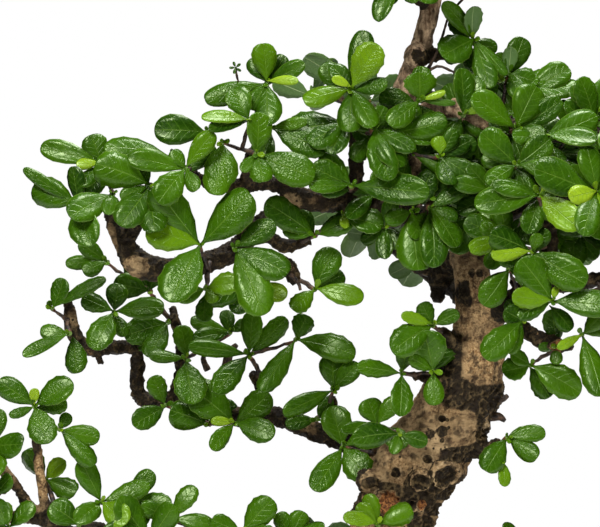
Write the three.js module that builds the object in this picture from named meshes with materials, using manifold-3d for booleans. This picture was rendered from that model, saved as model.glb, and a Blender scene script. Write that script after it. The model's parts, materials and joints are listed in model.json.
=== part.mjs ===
// Fukien tea bonsai in its pot: a grown tree with crooked branches and glossy spoon-shaped leaves.
// Millimetres, +Z up. The origin is on the ground under the middle of the whole object.
// X runs to the right and Y away, as the tree is seen from its front.
import * as THREE from "three";
import { mergeVertices } from "three/addons/utils/BufferGeometryUtils.js";
import Module from "manifold-3d";

const wasm = await Module();
wasm.setup();

// Driving dimensions
const GAP = 0.3;
const SHORTEST_EDGE = 0.1;
const SAME_POINT = 1e-4;
const POT = {
  length: 220, depth: 160, height: 58, corner: 34, cornerSteps: 2, wall: 8, floor: 8, taper: 0.9,
};
const LIP = { reach: 5, height: 11, lap: 2 };
const FOOT = { length: 34, depth: 26, height: 8, inset: 24, lap: 1 };
const DRAIN = { radius: 8, spacing: 90, sides: 12 };
const SCREEN = { side: 27, thick: 1.2, opening: 8, pitch: 12 };
const SOIL = { belowRim: 7, mound: 10, spread: 0.75, overlap: 5, outlinePoints: 14, rings: 2 };
const TREE_SHIFT = new THREE.Vector3(0, -6, 0);
const TRUNK_SIDES = 9;
const BARK_RELIEF = 0.05;
const ROUTE_TOLERANCE = 0.9;
const ROOT_RING = 2;
const KNOB_SWELL = 1.3;
const STEM = {
  sides: 4, forkSides: 3, foot: 1.3, neck: 0.9, bud: 1.5, budLength: 2.1, sunk: 0.4,
  knotHeight: 1.8, knotRoom: 1.2, clear: 0.5, ownWood: 2.5, pull: 0.35,
  stepLength: 18, mostSteps: 3, checks: 12, attempts: 40, swayStep: 0.45,
};
const FORK_SHARES = [0.1, 0.3, 0.5, 0.7];
const LEAF = {
  halfRib: 0.5, fold: 0.2, lift: 22, liftSpread: 8, roll: 14, droop: 0.11, layer: 0.3, stalk: -0.3,
  longestStretch: 1.3, shortLength: 17,
  smallest: 13.6, smallCrossing: 0.1, mostCrossing: 1.2,
};
const ROSETTE = { length: 20, width: 10.5, sizeSpread: 0.18, lift: 32, turn: 137.5 };
const LEAF_MARGIN = { width: 0.7, rib: 0.25 };
const SEED = 20807;

// Colours read from the look of each material
const COLOUR = {
  bark: "#a58a68", leaf: "#3f7a1c", pot: "#5b4638", soil: "#3b2e25", screen: "#202422",
};

// Routes of the wood: each point is x, y, z and the radius there.
const WOOD = {
  "trunk": [
    [18, 0, 34, 20], [18, 0, 43, 22], [20, 0, 55, 23], [22, 1, 64, 20.5], [25, 2, 76, 18],
    [28, 2, 90, 17], [32, 2, 103, 17], [35, 2, 115, 17.2], [39, 2, 126, 17.4], [45, 2, 138, 18.6],
    [54, 2, 151, 17.6], [61, 1, 163, 16.8], [66, 0, 175, 16], [69, -1, 186, 13.6], [71, -2, 196, 11.2],
    [70, -3, 208, 9.2], [68, -4, 220, 7.8], [65, -3, 231, 7], [60, 0, 242, 6.4], [52, 3, 253, 5.9],
    [43, 5, 263, 5.7], [38, 6, 274, 5.5], [37, 6, 288, 5.3], [41, 5, 301, 4.9], [46, 3, 315, 4.5],
    [50, 1, 330, 4.2], [53, 0, 346, 3.8], [53, -2, 362, 3.2], [49, -2, 376, 2.4]
  ],
  "upperLeft": [
    [62, 0, 235, 5.6], [49, -3, 242, 5.2], [36, -5, 246, 5], [21, -7, 250, 4.8], [6, -9, 251, 4.6],
    [-3, -11, 252, 4.4], [-11, -13, 257, 3.7], [-19, -14, 259, 3.3], [-26, -15, 258, 3.1],
    [-39, -17, 258, 2.7], [-49, -20, 263, 2]
  ],
  "upperLeftLow": [
    [-8, -10, 251, 4.2], [-20, -8, 242, 4.4], [-31, -8, 231, 4.6], [-44, -10, 225, 4.6],
    [-58, -12, 223, 4.8], [-71, -14, 225, 6], [-76, -15, 234, 5], [-81, -16, 243, 3.8],
    [-82, -17, 251, 2.6]
  ],
  "upperLeftFork": [
    [-77, -15, 234, 4.2], [-73, -18, 244, 3.8], [-68, -20, 254, 3], [-66, -21, 259, 2.2]
  ],
  "crestRiser": [
    [-25, -15, 257, 2.8], [-26, -16, 265, 2.6], [-22, -14, 277, 2.2], [-20, -13, 288, 1.7]
  ],
  "ridgeRiser": [
    [14, -8, 250, 3.2], [19, -9, 261, 3], [19, -8, 272, 2.6], [17, -7, 285, 2]
  ],
  "underTwig": [
    [-29, -8, 232, 3.2], [-20, -7, 237, 2.8], [-10, -5, 232, 2.8], [0, -5, 235, 2]
  ],
  "dropTwig": [
    [-31, -8, 231, 3.2], [-20, -5, 225, 2.8], [-10, -3, 224, 3.2], [-6, -3, 216, 3]
  ],
  "lowerLeft": [
    [40, 8, 134, 6.6], [29, 12, 141, 5.4], [15, 16, 147, 4.6], [2, 20, 151, 4.6], [-11, 24, 156, 4.2],
    [-22, 27, 157, 4], [-31, 28, 156, 4.2], [-38, 31, 161, 3.6], [-48, 34, 164, 3.3],
    [-62, 36, 163, 3.3], [-73, 37, 163, 4.2], [-75, 36, 173, 4], [-75, 34, 184, 3.2],
    [-84, 32, 186, 2.8], [-94, 30, 185, 3], [-101, 28, 191, 3.2], [-103, 26, 201, 3],
    [-104, 25, 208, 1.8]
  ],
  "lowerRiser": [
    [-21, 27, 157, 2.6], [-21, 27, 167, 2.4], [-25, 26, 176, 1.9]
  ],
  "lowerRiserLeft": [
    [-58, 35, 164, 2.8], [-56, 36, 179, 2.4], [-57, 37, 191, 2.4], [-60, 38, 203, 1.8]
  ],
  "lowerRiserRight": [
    [10, 17, 148, 2.6], [10, 16, 160, 2.4], [10, 15, 167, 1.8]
  ],
  "bottomLeft": [
    [26, 0, 82, 8], [14, -5, 91, 6.6], [1, -10, 92, 5.8], [-12, -14, 100, 5.4], [-25, -16, 99, 5],
    [-37, -17, 105, 4.8], [-50, -19, 103, 4.4], [-62, -20, 109, 4.2], [-76, -22, 108, 4],
    [-88, -23, 115, 3.8], [-99, -24, 113, 3.6], [-110, -25, 120, 3.4], [-124, -26, 121, 2.8],
    [-136, -26, 118, 1.8]
  ],
  "bottomPost": [
    [-108, -25, 118, 3.2], [-110, -25, 128, 2.8], [-112, -25, 141, 2.7], [-113, -24, 153, 2.4],
    [-114, -24, 164, 1.5]
  ],
  "bottomLeftFork": [
    [-112, -25, 120, 2.6], [-119, -22, 129, 2.4], [-127, -20, 140, 2.2], [-136, -18, 147, 1.6]
  ],
  "rightLow": [
    [71, -4, 200, 7], [82, -12, 208, 5.4], [93, -20, 216, 4.6], [106, -26, 218, 3.9],
    [120, -30, 220, 3.2], [134, -32, 224, 2.2]
  ],
  "rightLowTwig": [
    [80, -10, 207, 3.4], [89, -18, 198, 3.2], [97, -24, 194, 3.2], [108, -28, 192, 2]
  ],
  "rightUp": [
    [93, -20, 215, 3.8], [98, -26, 228, 3.4], [98, -30, 241, 3], [94, -33, 251, 2.2]
  ],
  "rightTop": [
    [38, 5, 279, 5], [48, -2, 287, 5], [60, -8, 290, 4.4], [74, -14, 284, 3.8], [91, -16, 280, 3.2],
    [108, -16, 277, 2.6], [125, -16, 272, 2]
  ],
  "rightMid": [
    [65, -4, 230, 5.4], [74, -12, 240, 4.2], [85, -20, 248, 3.4], [103, -24, 254, 2.8],
    [118, -26, 256, 2]
  ],
  "topRight": [
    [45, 3, 311, 3.4], [54, 2, 312, 2.8], [63, 1, 313, 2]
  ],
  "deadStub": [
    [64, 2, 227, 5], [58, 12, 222, 5.6], [49, 16, 221, 3.4], [40, 18, 224, 1.2]
  ],
  "deadStubEnd": [
    [57, 12, 222, 5.4], [55, 14, 215, 4.6], [54, 14, 207, 2.2]
  ],
  "trunkTwigUpper": [
    [64, -8, 188, 4.4], [58, -12, 194, 3], [54, -14, 198, 1.8]
  ],
  "trunkTwigLower": [
    [61, -8, 174, 3.8], [51, -14, 177, 2.4], [42, -16, 179, 1.6]
  ],
  "trunkTwigRight": [
    [68, -6, 148, 5.6], [74, -9, 147, 3.2], [79, -11, 151, 1.8]
  ],
  "backLeft": [
    [70, -2, 207, 6], [63, 20, 211, 4.2], [51, 40, 218, 3.4], [36, 56, 228, 2.8], [19, 64, 238, 2]
  ],
  "backRight": [
    [68, -3, 221, 5], [79, 22, 230, 3.8], [94, 42, 238, 3], [111, 58, 243, 2]
  ],
  "backTopLeft": [
    [37, 6, 281, 4.4], [29, 28, 286, 3.4], [18, 46, 292, 2.6], [4, 58, 296, 1.8]
  ],
  "backTopRight": [
    [40, 5, 296, 4.1], [49, 26, 294, 3.2], [66, 44, 290, 2.6], [86, 56, 287, 1.8]
  ],
  "backLow": [
    [32, 4, 101, 6.4], [27, 26, 99, 4.6], [19, 42, 91, 3.6], [4, 54, 88, 2.4]
  ],
  "lowRight": [
    [30, 0, 92, 6.4], [42, 5, 97, 4.8], [52, 8, 94, 4], [63, 12, 97, 3.4], [76, 16, 92, 2.8],
    [85, 18, 95, 2]
  ],
  "apexLeft": [
    [50, 1, 330, 3.6], [41, -4, 342, 2.8], [28, -10, 350, 1.8]
  ],
  "apexRight": [
    [53, 0, 345, 3.2], [63, 2, 353, 2.4], [75, 6, 356, 1.6]
  ],
  "apexBack": [
    [52, 1, 337, 3.2], [56, 16, 343, 2.6], [55, 30, 349, 2.2], [58, 42, 354, 1.6]
  ],
};

// Knobs and healed stumps on the trunk: x, y, z and radius.
const KNOBS = [
  [59, -5, 138, 7], [70, -12, 164, 5], [24, -8, 134, 5], [44, -3, 311, 5.5], [66, -6, 222, 4.5],
];

// Surface roots: direction in degrees round the trunk's foot, reach and radius.
const ROOTS = [[20, 38, 6], [110, 34, 5.5], [205, 42, 6], [290, 34, 5.5]];

// Sprays: the branch that each grows from, and its leaf whorls. A whorl holds x, y, z, the turn
// and rise of its axis in degrees, and its leaves. A leaf is its heading in the front view in
// degrees (0 right, 90 up), its length, its width and its tone: 0 shows the pale underside,
// 1 is dull, 2 to 5 dark to fresh green, 6 and 7 light, 8 and 9 young and yellow.
// A single number stands for that many leaves set round the axis by the rule of a rosette.
const SPRAYS = {
  "tipLeft": ["upperLeftLow", [
    [-86, -20, 267, -15, 25, [[170, 27, 9, 4], [108, 13, 10, 3], [192, 10, 5, 9], [232, 12, 8, 2]]],
    [-95, -26, 250, -12, 18, [[157, 22, 12, 4], [98, 17, 8, 1], [174, 27, 3, 3], [277, 18, 12, 4]]],
    [-81, -26, 255, 5, 30, [[215, 19, 12, 4], [262, 10, 7, 4]]]
  ]],
  "forkLeft": ["upperLeftFork", [
    [-66, -26, 258, 0, 25, [
      [168, 23, 14, 4], [279, 18, 11, 2], [236, 18, 12, 2], [205, 12, 6, 3], [120, 10, 6, 3]
    ]]
  ]],
  "padMid": ["upperLeft", [
    [-51, -30, 265, 5, 25, [
      [172, 24, 9, 4], [128, 10, 6, 4], [233, 16, 11, 4], [291, 10, 6, 4], [47, 19, 8, 6]
    ]],
    [-57, -19, 270, 2, 33, [[176, 28, 10, 3]]],
    [-42, -22, 280, 0, 15, [[179, 22, 12, 2]]]
  ]],
  "padTop": ["crestRiser", [
    [-36, -22, 276, 0, 10, [[268, 16, 13, 4], [262, 21, 11, 5]]],
    [-25, -24, 285, 0, 30, [[186, 19, 7, 6], [122, 16, 10, 3], [203, 16, 6, 1]]],
    [-22, -26, 271, 5, 20, [[88, 18, 10, 4], [335, 25, 13, 4], [232, 9, 5, 4], [282, 11, 9, 4]]]
  ]],
  "crest": ["crestRiser", [
    [-18, -14, 300, 0, 18, [
      [95, 16, 10, 6], [23, 18, 7, 3], [354, 13, 4, 9], [270, 17, 11, 4], [198, 26, 9, 3],
      [122, 13, 8, 3], [242, 12, 7, 3]
    ]]
  ]],
  "bigLeft": ["upperLeftLow", [
    [-45, -30, 234, 0, 15, [[131, 31, 14, 3], [45, 30, 16, 4], [243, 25, 16, 4], [164, 23, 13, 7]]],
    [-43, -26, 216, 0, 20, [[4, 14, 9, 6], [305, 7, 5, 6], [202, 12, 7, 5]]]
  ]],
  "bigRight": ["upperLeftLow", [
    [-31, -32, 233, 5, 15, [[333, 23, 13, 4], [291, 28, 14, 4], [30, 20, 9, 2]]],
    [-23, -8, 216, 0, 10, [[198, 21, 9, 3], [232, 14, 9, 1], [338, 14, 8, 8]]]
  ]],
  "dropping": ["dropTwig", [
    [2, -6, 214, 10, 20, [[64, 20, 11, 4], [343, 20, 9, 6], [27, 15, 8, 3], [222, 12, 8, 5]]]
  ]],
  "ridge": ["ridgeRiser", [
    [17, -18, 297, 0, 22, [
      [62, 20, 12, 7], [3, 15, 7, 4], [160, 9, 4, 9], [265, 16, 10, 4], [298, 17, 9, 4],
      [190, 21, 9, 6], [128, 14, 8, 3], [95, 27, 10, 2]
    ]],
    [15, -18, 284, -10, 25, [[190, 25, 14, 3], [215, 18, 12, 3], [248, 14, 10, 1]]],
    [-16, -18, 282, 0, 15, [[338, 24, 12, 4], [5, 15, 5, 5]]]
  ]],
  "inner": ["ridgeRiser", [
    [17, -24, 258, 0, 25, [[158, 19, 10, 3], [138, 19, 8, 3], [188, 17, 7, 4], [346, 31, 12, 3]]]
  ]],
  "underLeft": ["underTwig", [
    [2, -12, 237, 0, 15, [[150, 25, 12, 3], [22, 17, 9, 4], [170, 14, 7, 4]]],
    [14, -14, 246, 10, 20, [[338, 17, 11, 4], [268, 6, 4, 8]]]
  ]],
  "centre": ["ridgeRiser", [
    [26, -24, 282, 5, 20, [[303, 19, 12, 4], [282, 21, 11, 4], [325, 18, 9, 3], [60, 10, 7, 3]]]
  ]],
  "centreRight": ["rightTop", [
    [32, -20, 279, 10, 20, [[44, 18, 10, 4], [8, 25, 11, 4], [348, 19, 6, 3]]],
    [45, -22, 293, 5, 10, [[90, 12, 13, 4], [18, 11, 3, 9], [355, 15, 3, 4], [216, 16, 9, 4]]]
  ]],
  "hanging": ["upperLeft", [
    [42, -24, 248, 0, 7, [[275, 24, 14, 4], [200, 12, 7, 3]]],
    [49, -24, 249, 12, 20, [[303, 19, 11, 4], [272, 22, 11, 3], [26, 17, 7, 3], [335, 12, 6, 3]]],
    [50, -20, 258, 0, 20, [[184, 31, 12, 3]]],
    [31, -16, 241, 0, 10, [[270, 13, 7, 2], [300, 10, 7, 3]]],
    [27, -10, 254, 0, 20, [[225, 15, 7, 3], [160, 12, 7, 2]]]
  ]],
  "core": ["rightTop", [
    [42, -16, 271, 10, 20, [[328, 20, 7, 4], [30, 10, 7, 3]]],
    [53, -22, 270, 10, 22, [
      [95, 8, 7, 7], [324, 18, 9, 3], [288, 12, 9, 2], [22, 15, 7, 1], [60, 13, 7, 3]
    ]]
  ]],
  "topRightSprig": ["topRight", [
    [68, -3, 318, 12, 12, [
      [137, 20, 7, 4], [282, 21, 9, 4], [307, 20, 6, 4], [101, 16, 8, 0], [207, 15, 13, 4]
    ]]
  ]],
  "peakLow": ["rightTop", [
    [63, -18, 287, 5, 15, [[93, 20, 9, 3], [70, 18, 10, 4], [15, 11, 4, 8]]],
    [79, -4, 301, 10, 20, [[165, 14, 7, 4], [225, 13, 8, 2], [195, 18, 8, 4]]]
  ]],
  "peak": ["rightTop", [
    [84, -24, 281, 10, 25, [
      [150, 23, 12, 4], [61, 20, 13, 4], [27, 23, 9, 3], [45, 16, 6, 2], [335, 12, 7, 3]
    ]],
    [83, 0, 304, 10, 25, [[342, 12, 9, 3], [88, 12, 6, 0], [288, 11, 8, 3]]]
  ]],
  "peakRight": ["rightTop", [
    [91, 0, 296, 15, 40, [[18, 21, 11, 3], [355, 22, 11, 4], [45, 14, 9, 4]]],
    [96, -28, 279, 20, 35, [[12, 24, 11, 3], [340, 21, 10, 4]]]
  ]],
  "faceMid": ["rightMid", [
    [84, -34, 267, 5, 20, [[143, 20, 12, 4], [35, 18, 10, 3], [214, 14, 8, 4], [340, 19, 8, 4]]],
    [74, -26, 256, -5, 25, [[172, 16, 7, 4], [135, 15, 7, 3], [95, 11, 8, 3]]]
  ]],
  "faceRight": ["rightMid", [
    [116, -38, 256, 5, 22, [
      [166, 28, 15, 3], [198, 12, 8, 9], [100, 20, 10, 3], [300, 12, 7, 8], [248, 20, 10, 4]
    ]],
    [128, -30, 256, 50, 25, 4],
    [123, -30, 242, 30, 10, 4]
  ]],
  "faceCentre": ["rightUp", [
    [93, -38, 255, 0, 20, [[190, 27, 11, 4], [313, 20, 12, 7], [45, 10, 4, 9], [172, 20, 8, 3]]],
    [97, -28, 242, 0, 0, [[205, 12, 7, 3], [150, 11, 7, 5]]]
  ]],
  "faceLow": ["rightUp", [
    [90, -40, 232, 0, 15, [[188, 17, 6, 8], [162, 19, 11, 2], [325, 24, 13, 4], [70, 8, 5, 5]]],
    [80, -30, 237, 0, 15, [[200, 15, 7, 7], [100, 14, 8, 3], [150, 12, 7, 4]]]
  ]],
  "fan": ["rightLow", [
    [98, -42, 212, 5, 20, [
      [178, 17, 8, 7], [349, 24, 11, 4], [70, 6, 3, 9], [134, 22, 13, 4], [204, 15, 7, 3]
    ]],
    [134, -36, 228, 55, 30, 4],
    [127, -34, 208, 30, 10, 4]
  ]],
  "fanLeft": ["rightLow", [
    [81, -30, 224, -15, 0, [[238, 18, 10, 4], [350, 6, 4, 3]]],
    [87, -30, 203, -10, 10, [[226, 21, 11, 4], [150, 9, 8, 2], [250, 14, 7, 3]]]
  ]],
  "lowHang": ["rightLowTwig", [
    [111, -36, 198, 5, 15, [[208, 12, 4, 8], [283, 24, 11, 4], [20, 12, 6, 4], [45, 12, 7, 4]]],
    [102, -26, 192, 0, 10, [[185, 8, 4, 4], [260, 7, 5, 5]]],
    [91, -24, 184, 5, 10, [[192, 12, 9, 3], [327, 22, 12, 4], [150, 10, 6, 3]]]
  ]],
  "trunkUpper": ["trunkTwigUpper", [
    [51, -18, 200, -5, 15, [[118, 11, 7, 2], [166, 14, 5, 8], [214, 19, 12, 4], [24, 12, 6, 3]]]
  ]],
  "trunkLower": ["trunkTwigLower", [
    [51, -20, 181, 0, 10, [[104, 18, 14, 4], [271, 13, 8, 4], [150, 12, 6, 4]]],
    [38, -18, 180, 0, 10, [[172, 19, 7, 4], [268, 16, 9, 4]]]
  ]],
  "trunkRight": ["trunkTwigRight", [
    [82, -16, 153, 10, 15, [[235, 15, 10, 3], [4, 16, 7, 4], [318, 14, 8, 3]]],
    [80, -18, 144, 0, 15, [[275, 10, 5, 7]]]
  ]],
  "trunkFoot": ["trunk", [
    [28, -26, 118, -5, 25, [[112, 14, 7, 6], [24, 16, 9, 6], [172, 15, 6, 7], [140, 12, 6, 6]]]
  ]],
  "joint": ["lowerLeft", [
    [28, -14, 158, 0, 20, [[110, 12, 10, 3], [52, 14, 7, 4], [194, 15, 5, 3]]],
    [37, -26, 156, 0, 15, [[190, 19, 10, 2], [250, 8, 5, 4]]],
    [14, 6, 146, 0, 15, [[105, 19, 12, 4], [237, 20, 10, 4], [306, 15, 12, 4], [28, 19, 8, 4]]]
  ]],
  "riser": ["lowerRiserRight", [
    [10, 8, 170, 5, 15, [[92, 16, 11, 3], [48, 16, 8, 4], [206, 23, 8, 4]]],
    [3, 14, 157, 0, 10, [[190, 13, 6, 2]]]
  ]],
  "arch": ["lowerRiser", [
    [-6, 14, 191, 5, 20, [[342, 25, 11, 4], [62, 12, 9, 3], [234, 24, 9, 4]]],
    [-26, 18, 184, 0, 15, [[42, 23, 8, 3], [175, 26, 7, 4], [86, 19, 9, 4], [231, 20, 10, 3]]]
  ]],
  "node": ["lowerLeft", [
    [-32, 16, 155, 0, 18, [
      [36, 20, 11, 4], [143, 26, 15, 4], [180, 10, 4, 9], [232, 14, 7, 4], [338, 17, 10, 4]
    ]],
    [-43, 20, 154, 0, 15, [[163, 18, 12, 4], [125, 13, 7, 3]]],
    [-62, 22, 162, 0, 15, [[114, 14, 8, 4]]]
  ]],
  "padLow": ["lowerRiserLeft", [
    [-53, 22, 182, 6, 25, [[101, 15, 9, 4], [176, 16, 6, 4], [280, 18, 13, 3]]],
    [-34, 24, 193, 10, 26, [[168, 18, 7, 4], [195, 15, 7, 3], [30, 9, 5, 3]]]
  ]],
  "padLeft": ["lowerLeft", [
    [-84, 24, 202, 0, 15, [[4, 22, 10, 4], [245, 16, 11, 4], [157, 15, 8, 4], [80, 13, 9, 2]]],
    [-61, 30, 197, 0, 10, [[198, 19, 11, 3], [240, 16, 9, 3]]]
  ]],
  "padTip": ["lowerLeft", [
    [-110, 18, 204, -5, 20, [[66, 14, 8, 4], [27, 27, 6, 4]]],
    [-103, 20, 193, -10, 10, [[174, 13, 7, 4], [210, 21, 6, 4]]]
  ]],
  "padHigh": ["lowerRiserLeft", [
    [-87, 28, 223, 0, 20, [[185, 18, 6, 4], [200, 11, 8, 4], [150, 15, 7, 3]]],
    [-69, 34, 210, 0, 15, [[120, 17, 10, 2], [70, 15, 10, 3], [170, 16, 10, 3]]]
  ]],
  "postTop": ["bottomPost", [
    [-113, -32, 168, 0, 20, [
      [150, 19, 9, 4], [27, 19, 11, 4], [88, 7, 4, 9], [292, 15, 11, 4], [205, 10, 4, 3]
    ]],
    [-103, -30, 158, 10, 15, [[345, 17, 8, 4], [312, 20, 8, 4], [60, 8, 5, 3]]]
  ]],
  "postLow": ["bottomPost", [
    [-110, -20, 136, 0, 10, [[125, 15, 9, 2], [40, 12, 7, 8], [340, 14, 9, 4]]],
    [-95, -34, 119, 0, 15, [[143, 15, 11, 4], [45, 12, 7, 4]]]
  ]],
  "baseMid": ["bottomLeft", [
    [-86, -30, 128, 5, 20, [[119, 20, 9, 4], [19, 22, 8, 4], [315, 13, 10, 7], [222, 12, 8, 4]]],
    [-75, -24, 128, 5, 20, [[48, 16, 8, 3], [352, 18, 7, 4], [300, 12, 9, 4]]]
  ]],
  "baseRight": ["bottomLeft", [
    [-57, -28, 121, 5, 20, [[54, 17, 8, 4], [350, 18, 7, 4], [160, 14, 7, 4]]],
    [-66, -34, 113, 0, 30, 4],
    [-28, -28, 115, 5, 20, [[46, 19, 11, 4], [160, 14, 8, 4], [350, 15, 8, 4]]],
    [-8, -22, 112, 5, 28, [[121, 12, 7, 3], [60, 12, 8, 4], [10, 15, 8, 4]]]
  ]],
  "baseFar": ["bottomLeftFork", [
    [-132, -22, 150, -25, 30, 4],
    [-130, -30, 131, -10, 20, [[40, 11, 7, 4], [150, 18, 10, 4], [300, 12, 8, 4]]],
    [-124, -34, 118, -10, 30, [[40, 15, 8, 4], [165, 16, 9, 4], [110, 11, 7, 6]]]
  ]],
  "farRight": ["rightTop", [
    [126, -22, 274, 45, 35, 3],
    [120, -8, 286, 30, 50, [[150, 18, 8, 3], [20, 18, 10, 3], [80, 14, 8, 4]]]
  ]],
  "apexTip": ["trunk", [
    [47, -6, 381, -20, 60, 3],
    [56, -10, 370, 20, 40, 3],
    [48, -18, 348, 0, 30, [
      [268, 17, 11, 3], [200, 21, 11, 3], [120, 18, 10, 3], [40, 18, 11, 3], [330, 19, 10, 5]
    ]],
    [41, -14, 366, -20, 40, 3]
  ]],
  "apexLeftPad": ["apexLeft", [
    [25, -16, 349, -30, 40, 3],
    [35, -20, 344, -10, 15, [[250, 19, 8, 3], [190, 18, 10, 3], [310, 14, 8, 4]]]
  ]],
  "apexRightPad": ["apexRight", [
    [78, 2, 354, 40, 40, 3],
    [66, -4, 364, 15, 50, 3]
  ]],
  "apexRearPad": ["apexBack", [
    [59, 48, 357, 180, 40, 4],
    [51, 24, 369, 180, 50, 3]
  ]],
  "rearLeft": ["backLeft", [
    [16, 70, 245, -165, 32, 3],
    [31, 66, 236, 178, 30, 3],
    [48, 54, 224, 170, 20, 3]
  ]],
  "rearRight": ["backRight", [
    [114, 66, 246, 160, 35, 3],
    [97, 58, 244, 175, 35, 3],
    [110, 60, 231, 150, 20, 3]
  ]],
  "rearTopLeft": ["backTopLeft", [
    [1, 64, 294, -160, 38, 3],
    [16, 56, 299, 180, 48, 3]
  ]],
  "rearTopRight": ["backTopRight", [
    [89, 62, 286, 160, 38, 3],
    [70, 54, 292, 180, 48, 3]
  ]],
  "rearLow": ["backLow", [
    [1, 60, 90, -170, 35, 4]
  ]],
  "frontLowRight": ["lowRight", [
    [88, 20, 98, 40, 35, 4]
  ]],
};

// Seeded random numbers from 0 to 1, the same at every build.
let randomState = SEED;
function random() {
  randomState = (Math.imul(randomState, 1664525) + 1013904223) >>> 0;
  return randomState / 4294967296;
}

function spread(range) {
  return (random() * 2 - 1) * range;
}

function radians(degrees) {
  return degrees * Math.PI / 180;
}

function vector(x, y, z) {
  return new THREE.Vector3(x, y, z);
}

// Solids, joins and cuts

function solidOf(geometry) {
  const plain = new THREE.BufferGeometry();
  plain.setAttribute("position", geometry.getAttribute("position"));
  if (geometry.index) plain.setIndex(geometry.index);
  const merged = mergeVertices(plain, SAME_POINT);
  return new wasm.Manifold(new wasm.Mesh({
    numProp: 3,
    vertProperties: new Float32Array(merged.getAttribute("position").array),
    triVerts: new Uint32Array(merged.index.array),
  }));
}

function solidOfFaces(points, faces) {
  const geometry = new THREE.BufferGeometry();
  geometry.setAttribute("position", new THREE.Float32BufferAttribute(points.flat(), 3));
  geometry.setIndex(faces.flat());
  return solidOf(geometry);
}

function joined(solids) {
  return wasm.Manifold.union(solids);
}

function largestBody(solid) {
  const bodies = solid.decompose();
  bodies.sort((a, b) => b.volume() - a.volume());
  return bodies[0];
}

// Joins leave some very short edges. Their ends are brought together here, over the longest
// length that still leaves every edge between two triangles.

function weldedTriangles({ vertProperties, triVerts }, shortest) {
  const cornerAt = (i) => vector(...vertProperties.slice(3 * i, 3 * i + 3));
  const stands = Array.from({ length: vertProperties.length / 3 }, (_, i) => i);
  const rootOf = (i) => (stands[i] === i ? i : rootOf(stands[i]));
  for (let i = 0; i < triVerts.length; i++) {
    const from = rootOf(triVerts[i]);
    const to = rootOf(triVerts[i % 3 === 2 ? i - 2 : i + 1]);
    if (from !== to && cornerAt(from).distanceTo(cornerAt(to)) < shortest) stands[to] = from;
  }
  const kept = new Map();
  for (let i = 0; i < triVerts.length; i += 3) {
    const corners = [0, 1, 2].map((k) => rootOf(triVerts[i + k]));
    if (new Set(corners).size < 3) continue;
    const key = [...corners].sort((a, b) => a - b).join(" ");
    if (kept.has(key)) kept.delete(key);
    else kept.set(key, corners);
  }
  return [...kept.values()];
}

function isClosed(triangles) {
  const uses = new Map();
  for (const corners of triangles) {
    corners.forEach((from, k) => {
      const to = corners[(k + 1) % 3];
      const key = from < to ? from + " " + to : to + " " + from;
      uses.set(key, (uses.get(key) || 0) + 1);
    });
  }
  return [...uses.values()].every((count) => count === 2);
}

function welded(solid) {
  const mesh = solid.getMesh();
  for (let shortest = SHORTEST_EDGE; shortest > SAME_POINT; shortest *= 0.8) {
    const triangles = weldedTriangles(mesh, shortest);
    if (!isClosed(triangles)) continue;
    const geometry = new THREE.BufferGeometry();
    geometry.setAttribute("position", new THREE.Float32BufferAttribute(mesh.vertProperties, 3));
    geometry.setIndex(triangles.flat());
    return largestBody(solidOf(geometry));
  }
  return solid;
}

function meshOf(name, solid, material) {
  const { vertProperties, triVerts } = welded(solid).getMesh();
  const geometry = new THREE.BufferGeometry();
  geometry.setAttribute("position", new THREE.Float32BufferAttribute(vertProperties, 3));
  geometry.setIndex(Array.from(triVerts));
  geometry.computeVertexNormals();
  const mesh = new THREE.Mesh(geometry, material);
  mesh.name = name;
  return mesh;
}

// Round wood and stems: a closed cylinder whose rings are moved along a route.

function ringFrames(centres) {
  const last = centres.length - 1;
  const frames = [];
  let side = vector(0.31, -0.93, 0.2);
  for (let i = 0; i <= last; i++) {
    const ahead = centres[Math.min(i + 1, last)];
    const behind = centres[Math.max(i - 1, 0)];
    const along = ahead.clone().sub(behind).normalize();
    side = side.clone().addScaledVector(along, -side.dot(along)).normalize();
    frames.push({ along, side, other: side.clone().cross(along) });
  }
  return frames;
}

function tube(centres, radii, sides, relief = 0) {
  const steps = centres.length - 1;
  const geometry = new THREE.CylinderGeometry(1, 1, 1, sides, steps);
  const position = geometry.getAttribute("position");
  const frames = ringFrames(centres);
  const phases = centres.map(() => spread(Math.PI));
  for (let i = 0; i < position.count; i++) {
    const ring = Math.round((position.getY(i) + 0.5) * steps);
    const across = position.getX(i);
    const over = position.getZ(i);
    const turn = Math.atan2(over, across);
    const wave = relief * (Math.sin(3 * turn + phases[ring]) + 0.6 * Math.sin(5 * turn + ring));
    const radius = radii[ring] * (1 + wave);
    const { side, other } = frames[ring];
    const moved = centres[ring].clone();
    moved.addScaledVector(side, across * radius);
    moved.addScaledVector(other, over * radius);
    position.setXYZ(i, moved.x, moved.y, moved.z);
  }
  return solidOf(geometry);
}

// The wood: trunk, surface roots, branches, stubs and knobs, grown as one piece.

function routeOf(name) {
  return WOOD[name].map(([x, y, z, radius]) => ({ at: vector(x, y, z).add(TREE_SHIFT), radius }));
}

// The same route with fewer points: those are left out that lie nearly on the line past them.
function sparse(route) {
  const kept = [route[0]];
  for (let i = 1; i < route.length - 1; i++) {
    const from = kept[kept.length - 1];
    const to = route[i + 1];
    const line = new THREE.Line3(from.at, to.at);
    const nearest = line.closestPointToPoint(route[i].at, true, vector(0, 0, 0));
    const bends = nearest.distanceTo(route[i].at) > ROUTE_TOLERANCE;
    const swells = Math.abs(route[i].radius - from.radius) > ROUTE_TOLERANCE;
    if (bends || swells) kept.push(route[i]);
  }
  kept.push(route[route.length - 1]);
  return kept;
}

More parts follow.
